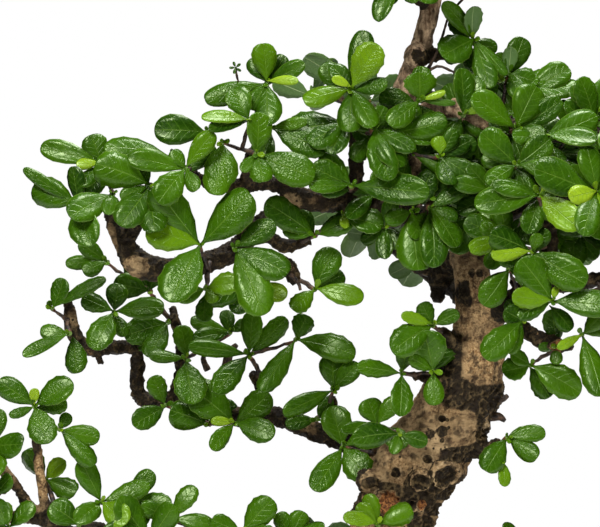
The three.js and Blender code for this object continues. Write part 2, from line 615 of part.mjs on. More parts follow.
function rootRoute([heading, reach, radius]) {
  const [x, y, z] = WOOD.trunk[ROOT_RING];
  const out = vector(Math.cos(radians(heading)), Math.sin(radians(heading)), 0);
  const place = (share, drop) => vector(x, y, z - drop).add(TREE_SHIFT)
    .addScaledVector(out, share * reach);
  return [
    { at: place(0.3, -6), radius: radius * 1.4 },
    { at: place(0.75, 2), radius },
    { at: place(1, 8), radius: radius * 0.5 },
  ];
}

function sidesFor(radius) {
  if (radius > 6) return 6;
  return radius > 3.8 ? 5 : 4;
}

function woodRoutes() {
  const branches = Object.keys(WOOD).map((name) => ({ name, route: sparse(routeOf(name)) }));
  const roots = ROOTS.map((root, i) => ({ name: "root" + i, route: rootRoute(root) }));
  return [...branches, ...roots];
}

function woodSolid(routes, swell) {
  const solids = routes.map(({ name, route }) => {
    const sides = name === "trunk" ? TRUNK_SIDES : sidesFor(route[route.length >> 1].radius);
    const grow = swell / Math.cos(Math.PI / sides);
    const centres = route.map((point) => point.at.clone());
    const last = centres.length - 1;
    const tipward = centres[last].clone().sub(centres[last - 1]).normalize();
    centres[last].addScaledVector(tipward, swell);
    const footward = centres[0].clone().sub(centres[1]).normalize();
    centres[0].addScaledVector(footward, swell);
    const radii = route.map((point) => point.radius + grow);
    return tube(centres, radii, sides, name === "trunk" ? BARK_RELIEF : 0);
  });
  for (const [x, y, z, radius] of KNOBS) {
    const knob = new THREE.IcosahedronGeometry(radius + swell * KNOB_SWELL, 0);
    knob.translate(x + TREE_SHIFT.x, y + TREE_SHIFT.y, z + TREE_SHIFT.z);
    solids.push(solidOf(knob));
  }
  return joined(solids);
}

// Distances to wood and stems, all taken as runs of tapered rods.

function rodsOf(points, radii) {
  const rods = [];
  for (let i = 1; i < points.length; i++) {
    rods.push({ a: points[i - 1], b: points[i], ra: radii[i - 1], rb: radii[i] });
  }
  return rods;
}

function rodDistance(rod, point) {
  const run = rod.b.clone().sub(rod.a);
  const share = point.clone().sub(rod.a).dot(run) / run.lengthSq();
  const t = Math.min(1, Math.max(0, share));
  const nearest = rod.a.clone().addScaledVector(run, t);
  return nearest.distanceTo(point) - (rod.ra + (rod.rb - rod.ra) * t);
}

function clearance(rods, point) {
  let least = Infinity;
  for (const rod of rods) least = Math.min(least, rodDistance(rod, point));
  return least;
}

// Where a spray leaves its branch

function lengthsAlong(route) {
  const lengths = [0];
  for (let i = 1; i < route.length; i++) {
    lengths.push(lengths[i - 1] + route[i].at.distanceTo(route[i - 1].at));
  }
  return lengths;
}

function pointAlong(route, lengths, length) {
  let i = 1;
  while (i < route.length - 1 && lengths[i] < length) i++;
  const t = Math.min(1, Math.max(0, (length - lengths[i - 1]) / (lengths[i] - lengths[i - 1])));
  return {
    at: route[i - 1].at.clone().lerp(route[i].at, t),
    radius: route[i - 1].radius + (route[i].radius - route[i - 1].radius) * t,
    along: route[i].at.clone().sub(route[i - 1].at).normalize(),
  };
}

function nearestLength(route, lengths, target) {
  let best = 0;
  let least = Infinity;
  const total = lengths[lengths.length - 1];
  for (let length = 0; length <= total; length += 1) {
    const distance = pointAlong(route, lengths, length).at.distanceTo(target);
    if (distance < least) {
      least = distance;
      best = length;
    }
  }
  return { length: best, distance: least };
}

// Shares of the distance to the whorls by which a foot may lie nearer to or further from the
// branch's start, in the order they are tried.
const FOOT_SHIFTS = [-0.4, -0.25, -0.1, 0, 0.15, 0.3, 0.5];

function footOf(route, target, woodRods) {
  const lengths = lengthsAlong(route);
  const nearest = nearestLength(route, lengths, target);
  let best = null;
  for (const shift of FOOT_SHIFTS) {
    const place = pointAlong(route, lengths, nearest.length + shift * nearest.distance);
    const out = target.clone().sub(place.at);
    out.addScaledVector(place.along, -0.5 * out.dot(place.along)).normalize();
    const bark = place.at.clone().addScaledVector(out, place.radius - STEM.sunk);
    const knot = place.at.clone().addScaledVector(out, place.radius + STEM.knotHeight);
    const free = clearance(woodRods, knot);
    if (!best || free > best.free) best = { bark, knot, out, free };
    if (free > STEM.knotRoom) return { bark, knot, out, free };
  }
  return best;
}

// Stems: a curve to each whorl, bent clear of wood and of other sprays. The first starts at the
// branch, and each later one at the nearest place on those before it.

function stemCurve(start, tip, axis, sway) {
  const reach = start.at.distanceTo(tip);
  return new THREE.CubicBezierCurve3(
    start.at,
    start.at.clone().addScaledVector(start.out, STEM.pull * reach).add(sway),
    tip.clone().addScaledVector(axis, -STEM.pull * reach).add(sway),
    tip,
  );
}

function stemRoom(points, woodRods, otherRods) {
  let least = Infinity;
  points.forEach((point, i) => {
    if (point.distanceTo(points[0]) > STEM.ownWood) least = Math.min(least, clearance(woodRods, point));
    if (i > 0) least = Math.min(least, clearance(otherRods, point));
  });
  return least;
}

function stemPoints(start, tip, axis, woodRods, otherRods) {
  const wanted = Math.round(start.at.distanceTo(tip) / STEM.stepLength);
  const steps = Math.max(1, Math.min(STEM.mostSteps, wanted));
  let best = null;
  for (let attempt = 0; attempt < STEM.attempts; attempt++) {
    const reach = attempt * STEM.swayStep;
    const sway = vector(spread(reach), spread(reach), spread(reach));
    const curve = stemCurve(start, tip, axis, sway);
    const room = stemRoom(curve.getPoints(STEM.checks), woodRods, otherRods);
    if (!best || room > best.room) best = { room, points: curve.getPoints(steps) };
    if (room > STEM.foot + STEM.clear) break;
  }
  return best.points;
}

function axisOf(turn, rise) {
  const flat = Math.cos(radians(rise));
  return vector(
    Math.sin(radians(turn)) * flat, -Math.cos(radians(turn)) * flat, Math.sin(radians(rise)),
  );
}

function stemSolid(points, axis, footRadius, sides) {
  const tip = points[points.length - 1];
  const centres = [...points, tip.clone().addScaledVector(axis, STEM.budLength)];
  const last = centres.length - 1;
  const radii = centres.map((point, i) => footRadius - (footRadius - STEM.neck) * i / last);
  radii[last - 1] = STEM.bud;
  radii[last] = STEM.bud / 2;
  return { solid: tube(centres, radii, sides), rods: rodsOf(centres, radii) };
}

function forkOf(rods, tip) {
  let best = null;
  for (const rod of rods) {
    for (const t of FORK_SHARES) {
      const at = rod.a.clone().lerp(rod.b, t);
      const distance = at.distanceTo(tip);
      if (!best || distance < best.distance) {
        const out = tip.clone().sub(at).normalize().add(rod.b.clone().sub(rod.a).normalize());
        best = { at, distance, out: out.normalize() };
      }
    }
  }
  return best;
}

// Leaves: a folded and drooping spoon-shaped blade, thick along its midrib and sharp at its rim.
// Each half of a face is given by the shares of length and of half-width along its rim.

const RIM = {
  toothed: [[0.32, 0.42], [0.67, 1], [0.93, 0.7], [0.89, 0.34]],
  rounded: [[0.32, 0.42], [0.67, 1], [0.92, 0.66]],
  short: [[0.42, 0.72], [0.84, 0.84]],
};
const MIDRIB = 0.4;

function bladeSolid(leaf, margin) {
  const { base, along, normal, length, width, droop, form } = leaf;
  const across = normal.clone().cross(along);
  const points = [];
  const rib = LEAF.halfRib + margin.rib;
  const halfWidth = (width + margin.width) / 2;
  const put = (u, v, w) => {
    const place = base.clone().addScaledVector(along, u * length);
    place.addScaledVector(across, v);
    place.addScaledVector(normal, w - droop * u * u * length);
    return points.push(place.toArray()) - 1;
  };
  const root = put(0, 0, 0);
  const crease = put(MIDRIB, 0, rib);
  const keel = put(MIDRIB, 0, -rib);
  const tip = put(1, 0, 0);
  const faces = [];
  for (const side of [1, -1]) {
    const rim = RIM[form].map(([u, share]) => {
      const v = share * halfWidth;
      return put(u, side * v, v * LEAF.fold);
    });
    const edge = [root, ...rim, tip];
    for (let i = 1; i < edge.length; i++) {
      const top = [edge[i - 1], crease, edge[i]];
      const under = [edge[i], keel, edge[i - 1]];
      faces.push(side === 1 ? top : top.reverse(), side === 1 ? under : under.reverse());
    }
  }
  return solidOfFaces(points, faces);
}

function leafDirection(axis, heading) {
  const inView = vector(Math.cos(radians(heading)), 0, Math.sin(radians(heading)));
  const towards = vector(0, -1, 0);
  const facing = towards.dot(axis);
  const lean = Math.abs(facing) < 0.2 ? 0 : -inView.dot(axis) / facing;
  return inView.addScaledVector(towards, Math.max(-0.8, Math.min(0.8, lean))).normalize();
}

function leafFrom(tip, axis, order, flat, lift, length, width, tone) {
  const along = flat.clone().addScaledVector(axis, Math.tan(radians(lift))).normalize();
  const normal = axis.clone().addScaledVector(along, -axis.dot(along)).normalize();
  normal.applyAxisAngle(along, radians(spread(LEAF.roll)));
  if (tone === 0) normal.negate();
  const form = length < LEAF.shortLength ? "short" : order % 3 === 0 ? "toothed" : "rounded";
  const base = tip.clone().addScaledVector(axis, LEAF.layer * (order - 0.5));
  return {
    base: base.addScaledVector(along, LEAF.stalk),
    along, normal, length, width, form, droop: LEAF.droop * (0.4 + random()),
  };
}

function listedLeaves(tip, axis, list) {
  return list.map(([heading, seenLength, width, tone], order) => {
    const flat = leafDirection(axis, heading);
    const lift = LEAF.lift + spread(LEAF.liftSpread);
    const leaf = leafFrom(tip, axis, order, flat, lift, seenLength, width, tone);
    const seenShare = Math.hypot(leaf.along.x, leaf.along.z);
    leaf.length = seenLength * Math.min(LEAF.longestStretch, 1 / seenShare);
    return leaf;
  });
}

function rosetteLeaves(tip, axis, count) {
  const sideways = vector(0.2, 0.1, 1).cross(axis).normalize();
  const start = spread(Math.PI);
  const leaves = [];
  for (let order = 0; order < count; order++) {
    const flat = sideways.clone().applyAxisAngle(axis, start + radians(order * ROSETTE.turn));
    const size = 1 + spread(ROSETTE.sizeSpread);
    leaves.push(leafFrom(
      tip, axis, order, flat, ROSETTE.lift + spread(LEAF.liftSpread),
      ROSETTE.length * size, ROSETTE.width * size, 4,
    ));
  }
  return leaves;
}

// A leaf keeps clear of everything outside its own spray, and is turned a little where it must.

const TRIES = [
  [0, 0, 1], [8, 0, 1], [-8, 0, 1], [0, 12, 1], [0, -12, 1], [14, 8, 0.95], [-14, 8, 0.95],
  [0, 24, 0.9], [0, -24, 0.9], [20, 0, 0.85], [-20, 0, 0.85], [12, 20, 0.8], [-12, -20, 0.8],
];

function turnedLeaf(leaf, axis, [swing, lift, shrink]) {
  const across = leaf.along.clone().cross(leaf.normal).normalize();
  const along = leaf.along.clone().applyAxisAngle(axis, radians(swing));
  const normal = leaf.normal.clone().applyAxisAngle(axis, radians(swing));
  along.applyAxisAngle(across, radians(lift));
  normal.applyAxisAngle(across, radians(lift));
  return { ...leaf, along, normal, length: leaf.length * shrink, width: leaf.width * shrink };
}

function boxesMeet(a, b) {
  for (let k = 0; k < 3; k++) {
    if (a.max[k] < b.min[k] || b.max[k] < a.min[k]) return false;
  }
  return true;
}

function overlap(solid, box, items) {
  let total = 0;
  for (const item of items) {
    if (!boxesMeet(box, item.box)) continue;
    const common = solid.intersect(item.solid);
    total += common.volume();
    common.delete();
  }
  return total;
}

function placedLeaf(leaf, axis, owner, items, stretchedWood) {
  const others = items.filter((item) => item.owner !== owner);
  const siblings = items.filter((item) => item.owner === owner && item.leaf);
  let best = null;
  for (const change of TRIES) {
    const tried = turnedLeaf(leaf, axis, change);
    const fat = bladeSolid(tried, LEAF_MARGIN);
    const box = fat.boundingBox();
    if (overlap(fat, box, [...others, stretchedWood]) > 0) {
      fat.delete();
      continue;
    }
    const crossing = overlap(fat, box, siblings);
    fat.delete();
    if (!best || crossing < best.crossing) best = { tried, crossing };
    if (crossing < LEAF.smallCrossing) break;
  }
  return best && best.crossing < LEAF.mostCrossing ? best.tried : null;
}

// The sprays

function whorlTip([x, y, z]) {
  return vector(x, y, z).add(TREE_SHIFT);
}

function largeEnough(list) {
  return typeof list === "number" || list.some(([, length]) => length > LEAF.smallest);
}

function growStems(woodRods) {
  const stemRods = [];
  return Object.entries(SPRAYS).map(([name, [branch, allWhorls]]) => {
    const whorls = allWhorls.filter((whorl) => largeEnough(whorl[5])).map((whorl) => ({
      tip: whorlTip(whorl), axis: axisOf(whorl[3], whorl[4]), list: whorl[5],
    }));
    const middle = vector(0, 0, 0);
    whorls.forEach(({ tip }) => middle.addScaledVector(tip, 1 / whorls.length));
    const foot = footOf(routeOf(branch), middle, woodRods);
    const reachOf = ({ tip }) => tip.distanceTo(foot.knot);
    const byReach = [...whorls].sort((a, b) => reachOf(a) - reachOf(b));
    const ownRods = [];
    const solids = byReach.map(({ tip, axis }, i) => {
      const start = i === 0 ? { at: foot.knot, out: foot.out } : forkOf(ownRods.slice(1), tip);
      const points = stemPoints(start, tip, axis, woodRods, stemRods);
      if (i === 0) points.unshift(foot.bark);
      const stem = i === 0
        ? stemSolid(points, axis, STEM.foot, STEM.sides)
        : stemSolid(points, axis, STEM.neck, STEM.forkSides);
      ownRods.push(...stem.rods);
      return stem.solid;
    });
    stemRods.push(...ownRods);
    return { name, whorls, solids };
  });
}

function growLeaves(sprays, stretchedWood) {
  const items = [];
  for (const { name, solids } of sprays) {
    for (const solid of solids) {
      items.push({ owner: name, solid, box: solid.boundingBox(), leaf: false });
    }
  }
  const woodItem = { solid: stretchedWood, box: stretchedWood.boundingBox() };
  for (const { name, whorls, solids } of sprays) {
    for (const { tip, axis, list } of whorls) {
      const wanted = typeof list === "number"
        ? rosetteLeaves(tip, axis, list)
        : listedLeaves(tip, axis, list);
      for (const leaf of wanted.filter(({ length }) => length > LEAF.smallest)) {
        const placed = placedLeaf(leaf, axis, name, items, woodItem);
        if (!placed) continue;
        const solid = bladeSolid(placed, { width: 0, rib: 0 });
        items.push({ owner: name, solid, box: solid.boundingBox(), leaf: true });
        solids.push(solid);
      }
    }
  }
}

// The pot and what is in it

function roundedOutline(length, depth, corner) {
  const x = length / 2 - corner;
  const y = depth / 2 - corner;
  const shape = new THREE.Shape();
  shape.absarc(x, y, corner, 0, Math.PI / 2);
  shape.absarc(-x, y, corner, Math.PI / 2, Math.PI);
  shape.absarc(-x, -y, corner, Math.PI, 1.5 * Math.PI);
  shape.absarc(x, -y, corner, 1.5 * Math.PI, 2 * Math.PI);
  return shape;
}

function potLayer(length, depth, corner, low, high, narrowLow = 1, narrowHigh = 1) {
  const outline = roundedOutline(length, depth, corner);
  const geometry = new THREE.ExtrudeGeometry(outline, {
    depth: high - low, bevelEnabled: false, curveSegments: POT.cornerSteps,
  });
  const position = geometry.getAttribute("position");
  for (let i = 0; i < position.count; i++) {
    const share = position.getZ(i) / (high - low);
    const narrow = narrowLow + (narrowHigh - narrowLow) * share;
    position.setXYZ(i, position.getX(i) * narrow, position.getY(i) * narrow, position.getZ(i) + low);
  }
  return solidOf(geometry);
}

function blockAt(length, depth, height, x, y, low) {
  const geometry = new THREE.BoxGeometry(length, depth, height);
  geometry.translate(x, y, low + height / 2);
  return solidOf(geometry);
}

function narrowAt(z) {
  return POT.taper + (1 - POT.taper) * (z - FOOT.height) / (POT.height - FOOT.height);
}

function cavity(low, high, gap) {
  const inside = 2 * (POT.wall + gap + LIP.reach);
  return potLayer(
    POT.length - inside, POT.depth - inside, POT.corner - POT.wall - gap, low, high,
    narrowAt(low), narrowAt(high),
  );
}

function potSolid() {
  const bodyLength = POT.length - 2 * LIP.reach;
  const bodyDepth = POT.depth - 2 * LIP.reach;
  const bodyTop = POT.height - LIP.height + LIP.lap;
  const body = potLayer(
    bodyLength, bodyDepth, POT.corner - LIP.lap, FOOT.height, bodyTop, POT.taper, narrowAt(bodyTop),
  );
  const lip = potLayer(POT.length, POT.depth, POT.corner, POT.height - LIP.height, POT.height);
  const feet = [];
  for (const sx of [-1, 1]) {
    for (const sy of [-1, 1]) {
      const x = sx * (bodyLength / 2 - FOOT.inset - FOOT.length / 2);
      const y = sy * (bodyDepth / 2 - FOOT.inset / 2 - FOOT.depth / 2);
      feet.push(blockAt(FOOT.length, FOOT.depth, FOOT.height + FOOT.lap, x, y, 0));
    }
  }
  let pot = joined([body, lip, ...feet]);
  pot = pot.subtract(cavity(FOOT.height + POT.floor, POT.height + 1, 0));
  for (const side of [-1, 1]) {
    const drain = new THREE.CylinderGeometry(DRAIN.radius, DRAIN.radius, POT.floor * 3, DRAIN.sides);
    drain.rotateX(Math.PI / 2);
    drain.translate(side * DRAIN.spacing / 2, 0, FOOT.height + POT.floor / 2);
    pot = pot.subtract(solidOf(drain));
  }
  return pot;
}

function screenSolid(x) {
  const low = FOOT.height + POT.floor + GAP;
  let screen = blockAt(SCREEN.side, SCREEN.side, SCREEN.thick, x, 0, low);
  for (const i of [-0.5, 0.5]) {
    for (const j of [-0.5, 0.5]) {
      const hole = blockAt(
        SCREEN.opening, SCREEN.opening, SCREEN.thick * 3,
        x + i * SCREEN.pitch, j * SCREEN.pitch, low - SCREEN.thick,
      );
      screen = screen.subtract(hole);
    }
  }
  return screen;
}

function soilSolid(stretchedWood) {
  const low = FOOT.height + POT.floor + GAP;
  const rimHeight = POT.height - SOIL.belowRim;
  const filled = cavity(low, POT.height + SOIL.mound + SOIL.overlap, GAP);
  const inside = 2 * (POT.wall + LIP.reach);
  const mound = new THREE.SphereGeometry(1, SOIL.outlinePoints, SOIL.rings * 2);
  mound.rotateX(Math.PI / 2);
  const position = mound.getAttribute("position");
  for (let i = 0; i < position.count; i++) {
    const up = position.getZ(i);
    const height = up > 0 ? rimHeight + up * SOIL.mound : low - SOIL.overlap;
    position.setXYZ(
      i, position.getX(i) * (POT.length - inside) * SOIL.spread,
      position.getY(i) * (POT.depth - inside) * SOIL.spread, height,
    );
  }
  let soil = solidOf(mound).intersect(filled);
  soil = soil.subtract(stretchedWood);
  for (const side of [-1, 1]) {
    soil = soil.subtract(blockAt(
      SCREEN.side + 2 * GAP, SCREEN.side + 2 * GAP, SCREEN.thick + 2 * GAP,
      side * DRAIN.spacing / 2, 0, low - GAP,
    ));
  }
  return soil;
}

// The whole object

function material(colour, roughness) {
  return new THREE.MeshStandardMaterial({ color: colour, roughness, metalness: 0 });
}

function bonsai() {
  const group = new THREE.Group();
  const routes = woodRoutes();
  const woodRods = routes.flatMap(({ route }) => rodsOf(
    route.map((point) => point.at), route.map((point) => point.radius),
  ));
  const seedBefore = randomState;
  const wood = woodSolid(routes, 0);
  randomState = seedBefore;
  const stretchedWood = woodSolid(routes, GAP);
  const sprays = growStems(woodRods);
  growLeaves(sprays, stretchedWood);

  group.add(meshOf("pot", potSolid(), material(COLOUR.pot, 0.6)));
  group.add(meshOf("soil", soilSolid(stretchedWood), material(COLOUR.soil, 0.95)));
  const screenMaterial = material(COLOUR.screen, 0.7);
  group.add(meshOf("drain_screen_left", screenSolid(-DRAIN.spacing / 2), screenMaterial));
  group.add(meshOf("drain_screen_right", screenSolid(DRAIN.spacing / 2), screenMaterial));
  group.add(meshOf("trunk", wood, material(COLOUR.bark, 0.9)));
  const leafMaterial = material(COLOUR.leaf, 0.35);
  for (const { name, solids } of sprays) {
    const spray = largestBody(joined(solids).subtract(stretchedWood));
    group.add(meshOf("spray_" + name, spray, leafMaterial));
  }
  return group;
}

export default bonsai();
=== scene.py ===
"""A fukien tea bonsai in its pot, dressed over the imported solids: bark, twigs, leaves, soil, pot."""
import json
import math
from types import SimpleNamespace

import bmesh
import bpy
from mathutils import Matrix, Vector, noise
from mathutils.kdtree import KDTree

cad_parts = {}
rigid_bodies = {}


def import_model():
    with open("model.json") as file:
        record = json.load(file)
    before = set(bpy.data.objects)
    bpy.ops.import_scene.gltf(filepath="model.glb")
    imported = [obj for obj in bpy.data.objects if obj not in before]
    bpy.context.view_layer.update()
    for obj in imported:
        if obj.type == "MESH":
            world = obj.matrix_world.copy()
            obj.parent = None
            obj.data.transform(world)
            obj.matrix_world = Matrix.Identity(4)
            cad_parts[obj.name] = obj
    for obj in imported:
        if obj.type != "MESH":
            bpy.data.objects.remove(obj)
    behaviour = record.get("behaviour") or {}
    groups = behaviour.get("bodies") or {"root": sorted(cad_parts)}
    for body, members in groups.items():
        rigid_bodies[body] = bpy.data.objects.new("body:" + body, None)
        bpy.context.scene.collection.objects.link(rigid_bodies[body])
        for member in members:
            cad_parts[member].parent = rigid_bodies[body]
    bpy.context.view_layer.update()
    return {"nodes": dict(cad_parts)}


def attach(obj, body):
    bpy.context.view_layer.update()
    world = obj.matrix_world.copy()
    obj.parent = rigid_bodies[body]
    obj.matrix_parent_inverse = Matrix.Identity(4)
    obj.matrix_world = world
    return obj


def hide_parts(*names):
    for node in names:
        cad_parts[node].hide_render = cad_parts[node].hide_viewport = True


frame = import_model()

# Lengths are in millimetres here and become metres as a mesh is written.
MM = 0.001
TREE_SHIFT = Vector((0, -6, 0))

POT = SimpleNamespace(length=220, depth=160, height=58, corner=34, wall=8, floor=16, taper=0.9)
LIP = SimpleNamespace(reach=5, height=11)
FOOT = SimpleNamespace(length=34, depth=26, height=8, inset=24)
DRAIN = SimpleNamespace(radius=8, spacing=90)
SOIL = SimpleNamespace(rim=51, mound=10, low=16.3)
BODY_X, BODY_Y = POT.length / 2 - LIP.reach, POT.depth / 2 - LIP.reach
RING_SEGMENTS = 96
GRAINS, CUSHIONS = 1500, 26
FLOOR_RADIUS = 620

BARK_VOXEL = 1.12
ROUTE_STEP, STRAY_STEP, TWIG_STEP = 2.0, 1.2, 1.6
# The radius over which wood bears no snags, and over which the trunk sets the girth round it.
THICK_STEM = 7
SNAG_CHANCE = 0.085
# How far aside a mark's bark is looked for, and how many of its radii a mark reaches.
MARK_SEARCH, MARK_REACH = 2.2, 2.2
LEAF_THICKNESS = 0.32
LEAF_VEINS = 6.5 * 2 * math.pi
GOLDEN_ANGLE = 137.5
SEED = 4127


def numbers(text):
    """Rows of numbers, parted by commas."""
    return [tuple(map(float, row.split())) for row in text.split(",")]


def named_rows(text):
    """Rows of numbers by name: a name, a colon and its rows, up to a semicolon."""
    parts = (part.split(":") for part in text.split(";")[:-1])
    return {name.strip(): numbers(rows) for name, rows in parts}


def spray_notes(text):
    """Each spray's branch and its whorls: place and axis, and the leaves or their number."""
    sprays = {}
    for part in text.split(";")[:-1]:
        if " on " in part:
            name, branch = part.strip().split(" on ")
            sprays[name] = branch, []
        else:
            (whorl,), leaves = map(numbers, part.split(":"))
            leaves = leaves if len(leaves[0]) > 1 else int(leaves[0][0])
            sprays[name][1].append((Vector(whorl[:3]) + TREE_SHIFT, axis_of(*whorl[3:]), leaves))
    return sprays


def axis_of(turn, rise):
    """A direction, by degrees turned from the front and risen from level."""
    turn, rise = math.radians(turn), math.radians(rise)
    return Vector((
        math.sin(turn) * math.cos(rise), -math.cos(turn) * math.cos(rise), math.sin(rise),
    ))


# Routes of the wood: each point is x, y, z and the radius there.
WOOD = named_rows("""
trunk: 18 0 34 20, 18 0 43 22, 20 0 55 23, 22 1 64 20.5, 25 2 76 18, 28 2 90 17, 32 2 103 17, 35 2 115 17.2,
    39 2 126 17.4, 45 2 138 18.6, 54 2 151 17.6, 61 1 163 16.8, 66 0 175 16, 69 -1 186 13.6, 71 -2 196 11.2,
    70 -3 208 9.2, 68 -4 220 7.8, 65 -3 231 7, 60 0 242 6.4, 52 3 253 5.9, 43 5 263 5.7, 38 6 274 5.5,
    37 6 288 5.3, 41 5 301 4.9, 46 3 315 4.5, 50 1 330 4.2, 53 0 346 3.8, 53 -2 362 3.2, 49 -2 376 2.4;
upperLeft: 62 0 235 5.6, 49 -3 242 5.2, 36 -5 246 5, 21 -7 250 4.8, 6 -9 251 4.6, -3 -11 252 4.4,
    -11 -13 257 3.7, -19 -14 259 3.3, -26 -15 258 3.1, -39 -17 258 2.7, -49 -20 263 2;
upperLeftLow: -8 -10 251 4.2, -20 -8 242 4.4, -31 -8 231 4.6, -44 -10 225 4.6, -58 -12 223 4.8,
    -71 -14 225 5.6, -77 -15 233 4, -82 -16 243 2.9, -83 -17 251 2.3;
upperLeftFork: -76 -15 233 3.6, -72 -18 243 2.9, -68 -20 253 2.5, -66 -21 259 2;
crestRiser: -25 -15 257 2.8, -26 -16 265 2.6, -22 -14 277 2.2, -20 -13 288 1.7;
ridgeRiser: 14 -8 250 3.2, 19 -9 261 3, 19 -8 272 2.6, 17 -7 285 2;
underTwig: -29 -8 232 3.2, -20 -7 237 2.8, -10 -5 232 2.8, 0 -5 235 2;
dropTwig: -31 -8 231 3.2, -20 -5 225 2.8, -10 -3 224 3.2, -6 -3 216 3;
lowerLeft: 40 8 134 6.6, 29 12 141 5.4, 15 16 147 4.6, 2 20 151 4.6, -11 24 156 4.2, -22 27 157 4,
    -31 28 156 4.2, -38 31 161 3.6, -48 34 164 3.3, -62 36 163 3.2, -73 37 163 3.6, -75 36 173 3,
    -75 34 184 2.8, -84 32 186 2.8, -94 30 185 3, -101 28 191 3.2, -103 26 201 3, -104 25 208 1.8;
lowerRiser: -21 27 157 2.6, -21 27 167 2.4, -25 26 176 1.9;
lowerRiserLeft: -58 35 164 2.8, -56 36 179 2.4, -57 37 191 2.4, -60 38 203 1.8;
lowerRiserRight: 10 17 148 2.6, 10 16 160 2.4, 10 15 167 1.8;
bottomLeft: 26 0 82 8, 14 -5 91 6.6, 1 -10 92 5.8, -12 -14 100 5.4, -25 -16 99 5, -37 -17 105 4.8,
    -50 -19 103 4.4, -62 -20 109 4.2, -76 -22 108 4, -88 -23 115 3.8, -99 -24 113 3.6, -110 -25 120 3.4,
    -124 -26 121 2.8, -136 -26 118 1.8;
bottomPost: -108 -25 118 2.8, -110 -25 128 2.3, -112 -25 141 2.1, -113 -24 153 1.9, -114 -24 164 1.4;
bottomLeftFork: -112 -25 120 2.6, -119 -22 129 2.4, -127 -20 140 2.2, -136 -18 147 1.6;
rightLow: 71 -4 200 7, 82 -12 208 5.4, 93 -20 216 4.6, 106 -26 218 3.9, 120 -30 220 3.2, 134 -32 224 2.2;
rightLowTwig: 80 -10 207 3.4, 89 -18 198 3.2, 97 -24 194 3.2, 108 -28 192 2;
rightUp: 93 -20 215 3.8, 98 -26 228 3.4, 98 -30 241 3, 94 -33 251 2.2;
rightTop: 38 5 279 5, 48 -2 287 5, 60 -8 290 4.4, 74 -14 284 3.8, 91 -16 280 3.2, 108 -16 277 2.6,
    125 -16 272 2;
rightMid: 65 -4 230 5.4, 74 -12 240 4.2, 85 -20 248 3.4, 103 -24 254 2.8, 118 -26 256 2;
topRight: 45 3 311 3.4, 54 2 312 2.8, 63 1 313 2;
deadStub: 64 2 227 5, 58 12 222 5.6, 49 16 221 3.4, 40 18 224 1.2;
deadStubEnd: 57 12 222 5.4, 55 14 215 4.6, 54 14 207 2.2;
trunkTwigUpper: 64 -8 188 4.4, 58 -12 194 3, 54 -14 198 1.8;
trunkTwigLower: 61 -8 174 3.8, 51 -14 177 2.4, 42 -16 179 1.6;
trunkTwigRight: 68 -6 148 5.6, 74 -9 147 3.2, 79 -11 151 1.8;
backLeft: 70 -2 207 6, 63 20 211 4.2, 51 40 218 3.4, 36 56 228 2.8, 19 64 238 2;
backRight: 68 -3 221 5, 79 22 230 3.8, 94 42 238 3, 111 58 243 2;
backTopLeft: 37 6 281 4.4, 29 28 286 3.4, 18 46 292 2.6, 4 58 296 1.8;
backTopRight: 40 5 296 4.1, 49 26 294 3.2, 66 44 290 2.6, 86 56 287 1.8;
backLow: 32 4 101 6.4, 27 26 99 4.6, 19 42 91 3.6, 4 54 88 2.4;
lowRight: 30 0 92 6.4, 42 5 97 4.8, 52 8 94 4, 63 12 97 3.4, 76 16 92 2.8, 85 18 95 2;
apexLeft: 50 1 330 3.6, 41 -4 342 2.8, 28 -10 350 1.8;
apexRight: 53 0 345 3.2, 63 2 353 2.4, 75 6 356 1.6;
apexBack: 52 1 337 3.2, 56 16 343 2.6, 55 30 349 2.2, 58 42 354 1.6;
""")

